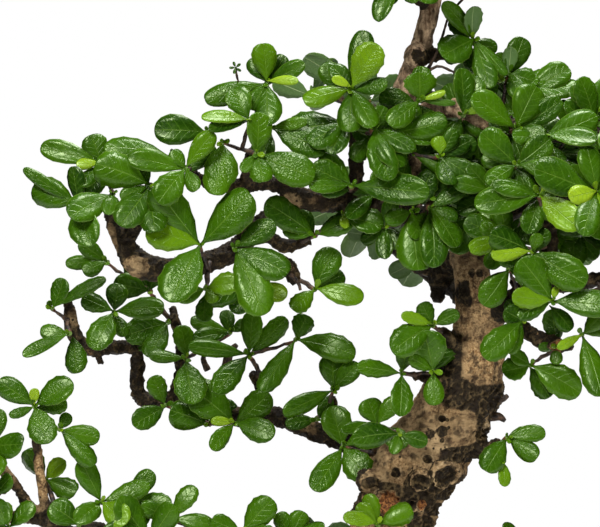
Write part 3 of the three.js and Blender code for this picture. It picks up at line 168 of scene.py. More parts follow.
# Sprays: the branch that each grows from, and its leaf whorls. A whorl is x, y, z, the turn and
# rise of its axis, and its leaves: heading seen from the front, length, width and tone.
# Tone 0 shows the pale underside, 1 is dull, 2 to 5 dark to fresh green, 6 and 7 light, 8 and 9
# young. A number alone stands for that many leaves set round the axis; such whorls also close the
# crown's gaps from inside and behind.
SPRAYS = spray_notes("""
tipLeft on upperLeftLow;
  -86 -20 267 -15 25: 170 27 9 4, 108 13 10 3, 192 10 5 9, 232 12 8 2;
  -95 -26 250 -12 18: 157 22 12 4, 98 17 8 1, 149 28 5 3, 291 18 12 4;
  -81 -26 255 5 30: 215 19 12 4, 262 10 7 4;
forkLeft on upperLeftFork;
  -66 -26 258 0 25: 168 23 14 4, 279 18 11 2, 236 18 12 2, 205 12 6 3, 120 10 6 3;
padMid on upperLeft;
  -51 -30 265 5 25: 172 24 9 4, 128 10 6 4, 233 16 11 4, 291 10 6 4, 47 19 8 6;
  -57 -19 270 2 33: 176 28 10 3;
  -42 -22 280 0 15: 179 22 12 2;
padTop on crestRiser;
  -36 -22 276 0 10: 268 16 13 4, 262 21 11 5;
  -25 -24 285 0 30: 186 19 7 6, 122 16 10 3, 203 16 6 1;
  -22 -26 271 5 20: 88 18 10 4, 335 25 13 4, 232 9 5 4, 282 11 9 4;
crest on crestRiser;
  -18 -14 300 0 18: 95 16 10 6, 23 18 7 3, 354 13 4 9, 270 17 11 4, 198 26 9 3, 122 13 8 3, 242 12 7 3;
bigLeft on upperLeftLow;
  -45 -30 234 0 15: 131 31 14 3, 45 30 16 4, 243 25 16 4, 164 23 13 7;
  -43 -26 216 0 20: 4 14 9 6, 305 7 5 6, 202 12 7 5;
bigRight on upperLeftLow;
  -31 -32 233 5 15: 333 23 13 4, 291 28 14 4, 30 20 9 2;
  -23 -8 216 0 10: 198 21 9 3, 232 14 9 1, 338 14 8 8;
dropping on dropTwig;
  2 -6 214 10 20: 64 20 11 4, 343 20 9 6, 27 15 8 3, 222 12 8 5;
ridge on ridgeRiser;
  17 -18 297 0 22: 53 21 12 7, 3 15 7 4, 160 9 4 9, 265 16 10 4, 298 17 9 4, 196 20 9 6, 128 14 8 3,
      76 27 10 2;
  15 -18 284 -10 25: 190 25 14 3, 215 18 12 3, 248 14 10 1;
  -16 -18 282 0 15: 338 24 12 4, 5 15 5 5;
inner on ridgeRiser;
  17 -24 258 0 25: 158 19 10 3, 138 19 8 3, 188 17 7 4, 346 31 12 3;
underLeft on underTwig;
  2 -12 237 0 15: 150 25 12 3, 22 17 9 4, 170 14 7 4;
  14 -14 246 10 20: 338 17 11 4, 268 6 4 8;
centre on ridgeRiser;
  26 -24 282 5 20: 303 19 12 4, 282 21 11 4, 325 18 9 3, 60 10 7 3;
centreRight on rightTop;
  32 -20 279 10 20: 44 18 10 4, 8 25 11 4, 348 19 6 3;
  45 -22 293 5 10: 90 12 13 4, 18 11 3 9, 355 15 3 4, 216 16 9 4;
hanging on upperLeft;
  42 -24 248 0 7: 275 24 14 4, 200 12 7 3;
  49 -24 249 12 20: 303 19 11 4, 272 22 11 3, 26 17 7 3, 335 12 6 3;
  49 -20 253 0 20: 165 26 12 3;
  31 -16 241 0 10: 270 13 7 2, 300 10 7 3;
  27 -10 254 0 20: 225 15 7 3, 160 12 7 2;
core on rightTop;
  42 -16 271 10 20: 328 20 7 4, 30 10 7 3;
  53 -22 270 10 22: 95 8 7 7, 324 18 9 3, 288 12 9 2, 22 15 7 1, 60 13 7 3;
  62 0 268 0 15: 5;
topRightSprig on topRight;
  68 -3 318 12 12: 137 20 7 4, 282 21 9 4, 307 20 6 4, 101 16 8 0, 207 15 13 4;
peakLow on rightTop;
  63 -18 287 5 15: 93 20 9 3, 70 18 10 4, 15 11 4 8;
  79 -4 301 10 20: 165 14 7 4, 225 13 8 2, 195 18 8 4;
peak on rightTop;
  84 -24 281 10 25: 150 23 12 4, 61 20 13 4, 27 23 9 3, 45 16 6 2, 335 12 7 3;
  83 0 304 10 25: 342 12 9 3, 88 12 6 0, 288 11 8 3;
  70 -2 266 10 15: 6;
  84 6 268 0 10: 6;
peakRight on rightTop;
  91 0 296 15 40: 18 21 11 3, 355 22 11 4, 45 14 9 4;
  96 -28 279 20 35: 12 24 11 3, 340 21 10 4;
  117 -8 282 20 25: 6;
  104 2 270 10 15: 6;
faceMid on rightMid;
  84 -34 267 5 20: 143 20 12 4, 35 18 10 3, 214 14 8 4, 340 19 8 4;
  74 -26 256 -5 25: 172 16 7 4, 135 15 7 3, 95 11 8 3;
  70 -4 247 0 10: 6;
  82 -4 256 0 20: 6;
faceRight on rightMid;
  116 -38 256 5 22: 166 28 15 3, 198 12 8 9, 100 20 10 3, 300 12 7 8, 248 20 10 4;
  128 -30 256 50 25: 4;
  123 -30 242 30 10: 4;
  110 -10 240 10 10: 6;
faceCentre on rightUp;
  93 -38 255 0 20: 190 27 11 4, 313 20 12 7, 45 10 4 9, 172 20 8 3;
  97 -28 242 0 0: 205 12 7 3, 150 11 7 5;
faceLow on rightUp;
  90 -40 232 0 15: 188 17 6 8, 162 19 11 2, 325 24 13 4, 70 8 5 5;
  80 -30 237 0 15: 200 15 7 7, 100 14 8 3, 150 12 7 4;
fan on rightLow;
  98 -42 212 5 20: 178 17 8 7, 349 24 11 4, 70 6 3 9, 134 22 13 4, 204 15 7 3;
  134 -36 228 55 30: 4;
  127 -34 208 30 10: 4;
fanLeft on rightLow;
  81 -30 224 -15 0: 238 18 10 4, 350 6 4 3;
  87 -30 203 -10 10: 226 21 11 4, 150 9 8 2, 250 14 7 3;
lowHang on rightLowTwig;
  111 -36 198 5 15: 208 12 4 8, 283 24 11 4, 20 12 6 4, 45 12 7 4;
  102 -26 192 0 10: 185 8 4 4, 260 7 5 5;
  91 -24 184 5 10: 192 12 9 3, 327 22 12 4, 150 10 6 3;
trunkUpper on trunkTwigUpper;
  51 -18 200 -5 15: 118 11 7 2, 166 14 5 8, 214 19 12 4, 24 12 6 3;
trunkLower on trunkTwigLower;
  51 -20 181 0 10: 104 18 14 4, 271 13 8 4, 150 12 6 4;
  38 -18 180 0 10: 172 19 7 4, 268 16 9 4;
trunkRight on trunkTwigRight;
  82 -16 153 10 15: 235 15 10 3, 4 16 7 4, 318 14 8 3;
  80 -18 144 0 15: 275 10 5 7;
trunkFoot on trunk;
  28 -26 118 -5 25: 112 14 7 6, 24 16 9 6, 172 15 6 7, 140 12 6 6;
joint on lowerLeft;
  28 -14 158 0 20: 110 12 10 3, 52 14 7 4, 194 15 5 3;
  37 -26 156 0 15: 190 19 10 2, 250 8 5 4;
  14 6 146 0 15: 105 19 12 4, 237 20 10 4, 306 15 12 4, 28 19 8 4;
riser on lowerRiserRight;
  10 8 170 5 15: 92 16 11 3, 48 16 8 4, 206 23 8 4;
  3 14 157 0 10: 190 13 6 2;
arch on lowerRiser;
  -6 14 191 5 20: 342 25 11 4, 62 12 9 3, 234 24 9 4;
  -26 18 184 0 15: 42 23 8 3, 175 26 7 4, 86 19 9 4, 231 20 10 3;
node on lowerLeft;
  -32 16 155 0 18: 36 20 11 4, 143 26 15 4, 180 10 4 9, 232 14 7 4, 338 17 10 4;
  -43 20 154 0 15: 163 18 12 4, 125 13 7 3;
  -62 22 162 0 15: 114 14 8 4;
padLow on lowerRiserLeft;
  -53 22 182 6 25: 101 15 9 4, 176 16 6 4, 280 18 13 3;
  -34 24 193 10 26: 168 18 7 4, 195 15 7 3, 30 9 5 3;
padLeft on lowerLeft;
  -84 24 202 0 15: 4 22 10 4, 245 16 11 4, 157 15 8 4, 80 13 9 2;
  -61 30 197 0 10: 198 19 11 3, 240 16 9 3;
padTip on lowerLeft;
  -110 18 204 -5 20: 66 14 8 4, 27 27 6 4;
  -103 20 193 -10 10: 174 13 7 4, 210 21 6 4;
padHigh on lowerRiserLeft;
  -87 28 223 0 20: 185 18 6 4, 200 11 8 4, 150 15 7 3;
  -69 34 210 0 15: 120 17 10 2, 70 15 10 3, 170 16 10 3;
postTop on bottomPost;
  -113 -32 168 0 20: 150 19 9 4, 27 19 11 4, 88 7 4 9, 292 15 11 4, 205 10 4 3;
  -103 -30 158 10 15: 345 17 8 4, 312 20 8 4, 60 8 5 3;
postLow on bottomPost;
  -110 -20 136 0 10: 125 15 9 2, 40 12 7 8, 340 14 9 4;
  -95 -34 119 0 15: 143 15 11 4, 45 12 7 4;
baseMid on bottomLeft;
  -86 -30 128 5 20: 119 20 9 4, 19 22 8 4, 315 13 10 7, 222 12 8 4;
  -75 -24 128 5 20: 48 16 8 3, 352 18 7 4, 300 12 9 4;
baseRight on bottomLeft;
  -57 -28 121 5 20: 54 17 8 4, 350 18 7 4, 160 14 7 4;
  -66 -34 113 0 30: 4;
  -28 -28 115 5 20: 46 19 11 4, 160 14 8 4, 350 15 8 4;
  -8 -22 112 5 28: 121 12 7 3, 60 12 8 4, 10 15 8 4;
baseFar on bottomLeftFork;
  -132 -22 150 -25 30: 4;
  -130 -30 131 -10 20: 40 11 7 4, 150 18 10 4, 300 12 8 4;
  -124 -34 118 -10 30: 40 15 8 4, 165 16 9 4, 110 11 7 6;
farRight on rightTop;
  126 -22 274 45 35: 3;
  120 -8 286 30 50: 150 18 8 3, 20 18 10 3, 80 14 8 4;
apexTip on trunk;
  47 -6 381 -20 60: 3;
  56 -10 370 20 40: 3;
  48 -18 348 0 30: 268 17 11 3, 200 21 11 3, 120 18 10 3, 40 18 11 3, 330 19 10 5;
  41 -14 366 -20 40: 3;
apexLeftPad on apexLeft;
  25 -16 349 -30 40: 3;
  35 -20 344 -10 15: 250 19 8 3, 190 18 10 3, 310 14 8 4;
apexRightPad on apexRight;
  78 2 354 40 40: 3;
  66 -4 364 15 50: 3;
apexRearPad on apexBack;
  59 48 357 180 40: 4;
  51 24 369 180 50: 3;
rearLeft on backLeft;
  16 70 245 -165 32: 3;
  31 66 236 178 30: 3;
  48 54 224 170 20: 3;
  40 44 240 180 30: 5;
  26 58 238 190 20: 5;
rearRight on backRight;
  114 66 246 160 35: 3;
  97 58 244 175 35: 3;
  110 60 231 150 20: 3;
  92 52 244 175 30: 5;
  118 50 250 150 25: 5;
rearTopLeft on backTopLeft;
  1 64 294 -160 38: 3;
  16 56 299 180 48: 3;
  26 44 292 190 30: 5;
rearTopRight on backTopRight;
  89 62 286 160 38: 3;
  70 54 292 180 48: 3;
  72 46 290 175 30: 5;
rearLow on backLow;
  1 60 90 -170 35: 4;
frontLowRight on lowRight;
  88 20 92 40 35: 4;
""")

# Fine dead twigs and hooks that carry no leaves: x, y, z and radius along each.
STRAY_TWIGS = named_rows("""
wire down from the top: 65.5 -4 337 0.5, 60 -5 331 0.5, 57 -5 326 0.5, 54.6 -5 318 0.55,
    52 -4 311 0.6, 48 -1 304 0.9;
wire to the right: 47 0 303 0.9, 50 -3 305.5 0.7, 54 -5 307 0.6, 60 -7 304.5 0.45;
curl above the branch: -6 -9 264 0.8, -5 -12 266.5 0.6, -3 -13 265.5 0.45;
curl below the branch: -8 -6 220 1.2, -5 -9 217 0.8, -4 -10 214 0.6;
upper hook on the trunk: 76 -2 168 2.4, 80.5 -3 167.6 1.7, 83 -4 169 0.9;
lower hook on the trunk: 75 -2 160 2.4, 79.5 -3 160 1.7, 82 -4 158.4 0.9;
thin snag on the lower branch: -44 30 176 1.5, -46 30 181 1.2, -44.5 29 184 0.8;
thick snag on the lower branch: -36 28 178 2.2, -34.5 28 184 1.8, -31.5 27 187.5 1.0;
stalk of the dry flower: -28 -14 296 0.45, -30 -16 302 0.45, -30.7 -18 306.5 0.45;
""")
# The dry star of a fallen flower: the spray it is counted to, its place, and its lobes.
CALYX = SimpleNamespace(spray="crest", place=Vector((-30.7, -19, 306.5)) + TREE_SHIFT, lobes=5)
# Where the trunk shows through the crown: x and z.
PEEP = (48, 260)

# Knobs and healed stumps on the trunk: x, y, z and radius.
KNOBS = numbers("59 -5 138 7, 70 -12 164 5, 24 -8 134 5, 44 -3 311 5.5, 66 -6 222 4.5")
# Surface roots: direction in degrees round the trunk's foot, reach and radius.
ROOTS = numbers("20 38 6, 110 34 5.5, 205 42 6, 290 34 5.5")
ROOT_FOOT = WOOD["trunk"][2]

# Marks on the front of the trunk: x and z seen from the front, radius, and what it is.
MARKS = (
    (53.3, 161.7, 1.4, "hole"), (55.2, 161.3, 0.7, "dark"), (48.7, 155.6, 1.9, "dark"),
    (53.4, 156.4, 2.3, "dark"), (58.2, 154.7, 0.8, "dark"), (47.3, 145.6, 1.7, "hole"),
    (33.8, 138.3, 2.1, "hole"), (42, 136.6, 2.2, "dark"), (47.6, 133.4, 3.2, "ring"),
    (58.8, 135.8, 4.7, "ring"), (66.1, 153.3, 3.0, "tan"), (31, 125.2, 5.2, "rust"),
    (44.2, 122.2, 1.8, "hole"), (48.1, 122.9, 2.1, "rust"), (66, 221.7, 2.0, "dark"),
    (72.7, 221.7, 1.8, "hole"), (46.3, 312, 2.4, "dark"), (74.8, 156, 2.2, "pale"),
    (100.8, 190.2, 2.4, "rust"), (56.8, 150.3, 1.0, "dark"), (36, 146, 0.6, "dark"),
    (41, 141.5, 0.5, "dark"), (51, 142.6, 0.6, "dark"), (-73.3, 223.4, 4.6, "tan"),
    (48, 258.5, 1.6, "hole"), (100.8, 190.2, 1.6, "tan"),
)
# Where the bark is near black: x, z and the half sizes of the patch, seen from the front.
DARK_PATCHES = numbers("""
    74.5 169 10 6.6, 64 170.5 5.6 5.5, 71.5 154.5 2.6 6.5, 73 146 8.6 4.4, 63.5 146.3 8 2.4,
    50.4 130.6 7 4.2, 43.5 133.6 4.2 3.2, 57.5 128.2 6.6 3.6, 33 132 5 1.6, 36 120.5 9 3,
    18.5 126 3.6 9, 25 133.6 3.4 2.2, 46.5 115.6 5.6 3.6, 53 121 4 2.8, 58.5 186 5 17, 64 211 3 7,
    39 268 3.6 7, 22 100 8 6, 37 90 7 5, 30 112 4 7, 50 130 4 8, 80 163 4 6, 45 127 8 3, 53 181 5.6 10,
    78 154 5 9, 51 131 10 3.6, 40 128 8 4, 61 172 9 6.5, 66 144 12 2.6, 66 126 5 8
""")
# Golden, flaking bark, in the same way, and where a branch is tan instead of near black.
FLAKY_PATCHES = numbers("75 185 11 11, 62 203 5 7, 33 112 7 6")
LIGHT_PATCHES = numbers("""
    -112 136 5 20, -127 117 18 6, -73.3 223.4 6 3, -6 252 7 5, -82 237 3 9, -99 200 4 6, 49 262 7 6,
    -127 138 12 9, 56 245 6 8, -1 153 8 4
""")


# Small tools

class Dice:
    """Seeded draws, the same at every run."""

    def __init__(self, seed):
        self.state = seed

    def draw(self):
        self.state = (self.state * 1664525 + 1013904223) % 2 ** 32
        return self.state / 2 ** 32

    def spread(self, reach):
        return (self.draw() * 2 - 1) * reach

    def between(self, low, high):
        return low + (high - low) * self.draw()

    def sway(self, reach):
        return Vector([self.spread(reach) for _ in range(3)])


def clamp(value, low=0.0, high=1.0):
    return max(low, min(high, value))


def smooth(value, low, high):
    """0 below low, 1 above high and an even ramp between."""
    t = clamp((value - low) / (high - low))
    return t * t * (3 - 2 * t)


def square_to(vector, along, share=1.0):
    """The vector with its share along the other direction taken out."""
    return (vector - along * vector.dot(along) * share).normalized()


def turned(v, about, degrees):
    """The vector turned about another one."""
    angle = math.radians(degrees)
    side = about.cross(v)
    return v * math.cos(angle) + side * math.sin(angle) + about * about.dot(v) * (1 - math.cos(angle))


def smooth_run(points, step):
    """Places and radii about every step along a smooth curve, moved to the tree's place."""
    fixed = [Vector(p) for p in points]
    ends = [fixed[0] * 2 - fixed[1], *fixed, fixed[-1] * 2 - fixed[-2]]
    run = []
    for a, b, c, d in zip(ends, ends[1:], ends[2:], ends[3:]):
        count = max(1, round((c.xyz - b.xyz).length / step))
        for t in (k / count for k in range(count)):
            run.append(0.5 * (
                2 * b + (c - a) * t + (2 * a - 5 * b + 4 * c - d) * t ** 2
                + (3 * b - a - 3 * c + d) * t ** 3
            ))
    shift = Vector((*TREE_SHIFT, 0))
    return [point + shift for point in (*run, fixed[-1])]


def placed(name, data):
    """A new object of the scene that holds the data."""
    holder = bpy.data.objects.new(name, data)
    bpy.context.scene.collection.objects.link(holder)
    return holder


def evaluated(holder, name):
    """The finished mesh of a holder, which is then removed with what it held."""
    graph = bpy.context.evaluated_depsgraph_get()
    graph.update()
    mesh = bpy.data.meshes.new_from_object(holder.evaluated_get(graph))
    mesh.name = name
    bpy.data.batch_remove((holder, holder.data))
    return mesh


def bmesh_of(mesh):
    """The mesh opened for editing; the mesh itself is removed."""
    bm = bmesh.new()
    bm.from_mesh(mesh)
    bpy.data.meshes.remove(mesh)
    return bm


def mesh_of(bm, name):
    """The edited shape as a new mesh."""
    mesh = bpy.data.meshes.new(name)
    bm.to_mesh(mesh)
    bm.free()
    return mesh


def rods(name, runs, resolution):
    """A mesh of round rods along runs of x, y, z and radius."""
    curve = bpy.data.curves.new(name, "CURVE")
    curve.dimensions = "3D"
    curve.bevel_depth = MM
    curve.bevel_resolution = resolution
    curve.use_fill_caps = True
    for run in runs:
        spline = curve.splines.new("POLY")
        spline.points.add(len(run) - 1)
        for point, place in zip(spline.points, run):
            point.co = (*(place.xyz * MM), 1)
            point.radius = place.w
    return evaluated(placed(name, curve), name)


def piece(name, mesh, materials, slot, *nodes):
    """An object of the tree's frame that stands for its nodes."""
    made = placed(name, mesh)
    mesh.materials.clear()
    for material in materials:
        mesh.materials.append(material)
    mesh.shade_smooth()
    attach(made, "root")
    if nodes:
        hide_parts(*nodes)
    return made


# Materials

class Wire:
    """An output in a node tree, with the arithmetic that adds nodes after it."""

    def __init__(self, wiring, socket):
        self.wiring, self.socket = wiring, socket

    def math(self, operation, other=0.0):
        return self.wiring.node("Math", 0, {0: self, 1: other}, operation=operation)

    def __add__(self, other):
        return self.math("ADD", other)

    def __sub__(self, other):
        return self.math("SUBTRACT", other)

    def __mul__(self, other):
        return self.math("MULTIPLY", other)

    def __truediv__(self, other):
        return self.math("DIVIDE", other)

    def ramp(self, low, high, bottom=0.0, top=1.0):
        return self.wiring.node("MapRange", 0, {
            "Value": self, "From Min": low, "From Max": high, "To Min": bottom, "To Max": top,
        }, clamp=True)


class Wiring:
    """Short ways to add nodes to a tree and join them."""

    def __init__(self, tree, place=None):
        self.nodes, self.links = tree.nodes, tree.links
        self.place = place and Wire(self, place)

    def give(self, socket, value):
        if isinstance(value, Wire):
            self.links.new(value.socket, socket)
        else:
            socket.default_value = (*value, 1) if socket.type == "RGBA" else value

    def add(self, kind, inputs, **settings):
        made = self.nodes.new("ShaderNode" + kind)
        for key, value in settings.items():
            setattr(made, key, value)
        for key, value in inputs.items():
            self.give(made.inputs[key], value)
        return made

    def node(self, kind, out, inputs, **settings):
        return Wire(self, self.add(kind, inputs, **settings).outputs[out])

    def noise(self, scale, detail, roughness=0.55, place=None, distortion=0.0):
        return self.node("TexNoise", "Fac", {
            "Vector": place or self.place, "Scale": scale, "Detail": detail,
            "Roughness": roughness, "Distortion": distortion,
        })

    def cells(self, scale, feature="F1"):
        return self.node("TexVoronoi", "Distance", {"Vector": self.place, "Scale": scale},
                         feature=feature)

    def own(self, name):
        return self.node("Attribute", "Fac", {}, attribute_name=name)

    def stretched(self, *scale):
        return self.node("Mapping", 0, {"Vector": self.place, "Scale": scale})

    def mix(self, share, a, b):
        return self.node("Mix", 2, {0: share, 6: a, 7: b}, data_type="RGBA")

    def coated(self, colour, *coats):
        """The colour under its coats, each with the mask that shows it."""
        for mask, coat in coats:
            colour = self.mix(mask, colour, coat)
        return colour


class Finish(Wiring):
    """A material under way."""

    def __init__(self, name):
        self.material = bpy.data.materials.new(name)
        self.material.use_nodes = True
        tree = self.material.node_tree
        super().__init__(tree, tree.nodes.new("ShaderNodeTexCoord").outputs["Object"])

    def effect(self, tree, *vector, **values):
        """The results of a shared effect that is placed in this material with its own values."""
        made = self.add("Group", {0: vector[0] if vector else self.place, **values}, node_tree=tree)
        return [Wire(self, socket) for socket in made.outputs]

    def tinted(self, *stops):
        """A leaf's colour from its tone, evened out along a row of greens."""
        ramp = self.add("ValToRGB", {0: self.own("tone")})
        elements = ramp.color_ramp.elements
        for i, (stop, colour) in enumerate(stops):
            element = elements[i] if i < len(elements) else elements.new(stop)
            element.position = stop
            element.color = (*colour, 1)
        return Wire(self, ramp.outputs[0])

    def finish(self, colour, roughness, relief=None, **values):
        """The material; relief is the height over its surface, a strength and a distance."""
        values.update(base_color=colour, roughness=roughness)
        if relief:
            values["normal"] = self.node("Bump", 0, dict(zip(("Height", "Strength", "Distance"), relief)))
        shader = self.nodes["Principled BSDF"]
        for key, value in values.items():
            self.give(shader.inputs[key.replace("_", " ").title().replace("Ior", "IOR")], value)
        return self.material


def effect_group(name, vector, inputs, results, build):
    """A shared effect: build is given its wiring and inputs, and gives its results in order."""
    tree = bpy.data.node_groups.new(name, "ShaderNodeTree")
    tree.interface.new_socket(name=vector, in_out="INPUT", socket_type="NodeSocketVector")
    for side, names in (("INPUT", inputs), ("OUTPUT", results)):
        for each in names:
            tree.interface.new_socket(name=each, in_out=side, socket_type="NodeSocketFloat")
    given = tree.nodes.new("NodeGroupInput").outputs
    wiring = Wiring(tree, given[vector])
    made = build(wiring, *(Wire(wiring, given[each]) for each in inputs))
    for socket, wire in zip(tree.nodes.new("NodeGroupOutput").inputs, made):
        wiring.give(socket, wire)
    return tree


def draw_specks(wiring, scale, size, patches):
    """Small round specks that come in patches: 1 on a speck."""
    dots = (wiring.cells(scale) / size).ramp(0.75, 1.1, 1, 0)
    return [dots * wiring.noise(patches, 2).ramp(0.52, 0.6)]


def draw_scales(wiring, scale, share):
    """Lumps with small scales on them, as a mask and as a height."""
    lumps = wiring.noise(scale, 6, 0.65)
    return lumps, lumps + wiring.cells(scale * 2.2) * share


def draw_blade(wiring, veins):
    """Midrib, side veins that bend towards the tip, and rim of a blade: 1 on each line."""
    across, along = (Wire(wiring, end) for end in wiring.add("SeparateXYZ", {0: wiring.place}).outputs[:2])
    aside = (across - 0.5).math("ABSOLUTE") * 2
    wave = ((along - aside * 0.26) * veins).math("SINE")
    vein = wave.ramp(0.84, 1) * aside.ramp(0.9, 0.5)
    return vein, aside.ramp(along.ramp(0, 1, 0.085, 0.03), 0.012), aside.ramp(0.93, 1)


def bark_material(specks, scales):
    """Tan bark with cream scrapes, near-black scaly patches, pits, rusty rotten wood and painted light on
    its relief.
    """
    bark = Finish("bark")
    lumps, relief = bark.effect(scales, scale=260, share=0.5)
    pits, = bark.effect(specks, scale=330, size=0.18, patches=90)
    fine, crest = bark.noise(1100, 4, 0.7), bark.own("crest")
    wrinkles = bark.noise(130, 5, 0.7, bark.stretched(1, 1, 4.5), 0.6)
    fibres = bark.noise(420, 4, 0.7, bark.stretched(1, 1, 0.16))
    flecks = bark.noise(420, 5, 0.7, distortion=0.8)
    flaky = bark.noise(48, 3).ramp(0.5, 0.62, 0, 0.6) + bark.own("flaky") * lumps.ramp(0.4, 0.55)
    ochre = bark.mix(fine.ramp(0.4, 0.65), (0.16, 0.07, 0.02), (0.62, 0.42, 0.20))
    brown = bark.mix(fibres.ramp(0.36, 0.62), (0.10, 0.05, 0.025), (0.62, 0.44, 0.27))
    pale = bark.mix(fine.ramp(0.35, 0.7), (0.30, 0.20, 0.09), (0.72, 0.56, 0.34))
    tan = bark.coated(
        bark.mix(lumps.ramp(0.3, 0.72), (0.12, 0.070, 0.030), (0.33, 0.225, 0.110)),
        (bark.noise(70, 5, 0.6).ramp(0.5, 0.72, 0, 0.5), (0.43, 0.31, 0.160)),
        (wrinkles.ramp(0.34, 0.45, 0.75, 0), (0.07, 0.038, 0.018)),
        (flaky, ochre), (bark.own("young"), brown), (bark.own("pale"), pale),
        (lumps.ramp(0.52, 0.42) * fine.ramp(0.3, 0.6, 0.9, 0.2), (0.035, 0.018, 0.009)),
        (pits, (0.010, 0.007, 0.004)),
    )
    # Painted highlight: the ridge tops of the relief are coloured lighter on the near-black bark.
    ridge_highlight = crest + (fine - 0.5) * 0.9
    ink = bark.coated(
        bark.mix(fine.ramp(0.35, 0.75), (0.0040, 0.0026, 0.0010), (0.042, 0.027, 0.010)),
        (ridge_highlight.ramp(0.58, 1.05, 0, 0.7), (0.17, 0.115, 0.050)),
        (flecks.ramp(0.66, 0.71, 0, 0.7), (0.30, 0.165, 0.07)),
    )
    rough_edge = (lumps - 0.5) * 0.8 + (fine - 0.5) * 0.6
    darkness = (bark.own("dark") + rough_edge).ramp(0.44, 0.56)
    rotten = bark.own("rust") + (lumps - 0.5)
    rust = bark.mix(fine.ramp(0.4, 0.65), (0.030, 0.008, 0.006), (0.36, 0.15, 0.045))
    colour = bark.coated(
        tan, (darkness, ink), (rotten.ramp(0.4, 0.6), rust),
        # Painted shade: the crevices of the relief are coloured near black.
        (crest.ramp(0.35, 0.05, 0, 0.7), (0.012, 0.007, 0.004)),
    )
    return bark.finish(colour, darkness.ramp(0, 1, 0.85, 0.7), (relief + fine * 0.45, 0.85, 0.0011),
                       specular_ior_level=0.2)


def twig_material(scales):
    """Dark scaly young wood that turns reddish and then green towards a whorl."""
    twig = Finish("twig")
    lumps, relief = twig.effect(scales, scale=500, share=0.4)
    youth = twig.own("youth")
    colour = twig.coated(
        twig.mix(lumps.ramp(0.4, 0.66), (0.009, 0.006, 0.004), (0.11, 0.06, 0.03)),
        (youth.ramp(0.55, 0.8),
         twig.mix(lumps.ramp(0.35, 0.7), (0.11, 0.03, 0.016), (0.26, 0.11, 0.04))),
        (youth.ramp(0.88, 1), (0.12, 0.20, 0.03)),
    )
    return twig.finish(colour, 0.62, (relief, 0.6, 0.0006))


def blade_finish(name, blade_lines):
    """A leaf's material under way, with its veins, midrib and rim."""
    leaf = Finish(name)
    blade = leaf.node("UVMap", 0, {}, uv_map="blade")
    return leaf, *leaf.effect(blade_lines, blade, veins=LEAF_VEINS)


def leaf_material(specks, blade_lines):
    """Glossy upper side: fresh greens, light midrib, a painted highlight along the rim, puckered between
    its veins.
    """
    leaf, vein, rib, rim = blade_finish("leaf", blade_lines)
    dots, = leaf.effect(specks, scale=560, size=0.11, patches=130)
    broad, pucker = leaf.noise(60, 3), leaf.noise(330, 2, 0.5)
    green = leaf.coated(
        leaf.tinted(
            (0.0, (0.006, 0.024, 0.001)), (0.22, (0.012, 0.042, 0.001)),
            (0.45, (0.026, 0.078, 0.001)), (0.62, (0.050, 0.122, 0.001)),
            (0.8, (0.108, 0.212, 0.003)), (1.0, (0.225, 0.345, 0.012)),
        ),
        (broad.ramp(0.42, 0.7, 0, 0.4), (0.052, 0.135, 0.002)),
        (broad.ramp(0.5, 0.3, 0, 0.45), (0.006, 0.028, 0.001)),
        (leaf.noise(900, 3, 0.6).ramp(0.5, 0.8, 0, 0.3), (0.08, 0.17, 0.01)),
        (vein * 0.4, (0.065, 0.15, 0.012)), (rib * 0.45, (0.11, 0.20, 0.02)),
        # The lighter rim is a painted highlight, as if a curled margin caught the light.
        (rim * 0.4, (0.15, 0.25, 0.03)), (dots * 0.5, (0.55, 0.60, 0.40)),
    )
    pebbled = leaf.noise(38, 2).ramp(0.5, 0.62, 0.1, 0.95)
    height = pucker * 0.7 - leaf.cells(1450, "SMOOTH_F1") * pebbled - vein * 0.3 - rib * 0.9
    gloss = pucker.ramp(0.35, 0.7, 0.23, 0.36) + dots * 0.3
    return leaf.finish(green, gloss, (height, 0.38, 0.0008), specular_ior_level=0.32,
                       specular_tint=(0.82, 1.0, 0.55))


def underside_material(blade_lines):
    """Paler and duller lower side, with a raised midrib."""
    under, vein, rib, _ = blade_finish("leaf_underside", blade_lines)
    pale = under.coated(
        under.tinted((0.0, (0.085, 0.165, 0.040)), (0.5, (0.060, 0.135, 0.020)),
                     (1.0, (0.20, 0.30, 0.04))),
        (under.noise(700, 4).ramp(0.4, 0.75, 0, 0.5), (0.13, 0.21, 0.07)),
        (vein * 0.35, (0.10, 0.18, 0.06)), (rib, (0.30, 0.40, 0.16)),
    )
    return under.finish(pale, 0.5, (under.noise(800, 3) + rib * 1.5, 0.4, 0.0005))


def soil_material():
    soil = Finish("soil")
    fine = soil.noise(900, 5, 0.7)
    colour = soil.mix(fine.ramp(0.35, 0.7), (0.012, 0.008, 0.006), (0.085, 0.055, 0.036))
    return soil.finish(colour, 0.95, (fine, 0.8, 0.001))


def grit_material():
    grit = Finish("grit")
    kind, speck = grit.own("kind"), grit.noise(1600, 3)
    colour = grit.coated(
        grit.mix(kind.ramp(0.3, 0.5), (0.06, 0.035, 0.022), (0.24, 0.13, 0.07)),
        (kind.ramp(0.72, 0.76), (0.035, 0.030, 0.030)), (kind.ramp(0.9, 0.92), (0.42, 0.37, 0.30)),
        (speck.ramp(0.5, 0.8, 0, 0.5), (0.02, 0.015, 0.012)),
    )
    return grit.finish(colour, 0.9, (speck, 0.7, 0.0006))


def moss_material():
    moss = Finish("moss")
    tufts, patch = moss.cells(900), moss.noise(160, 4)
    colour = moss.coated(
        moss.mix(patch.ramp(0.35, 0.65), (0.035, 0.075, 0.010), (0.13, 0.19, 0.025)),
        (tufts.ramp(0.1, 0.5, 0.6, 0), (0.22, 0.28, 0.05)),
    )
    return moss.finish(colour, 0.95, (tufts, 1.0, 0.0012))


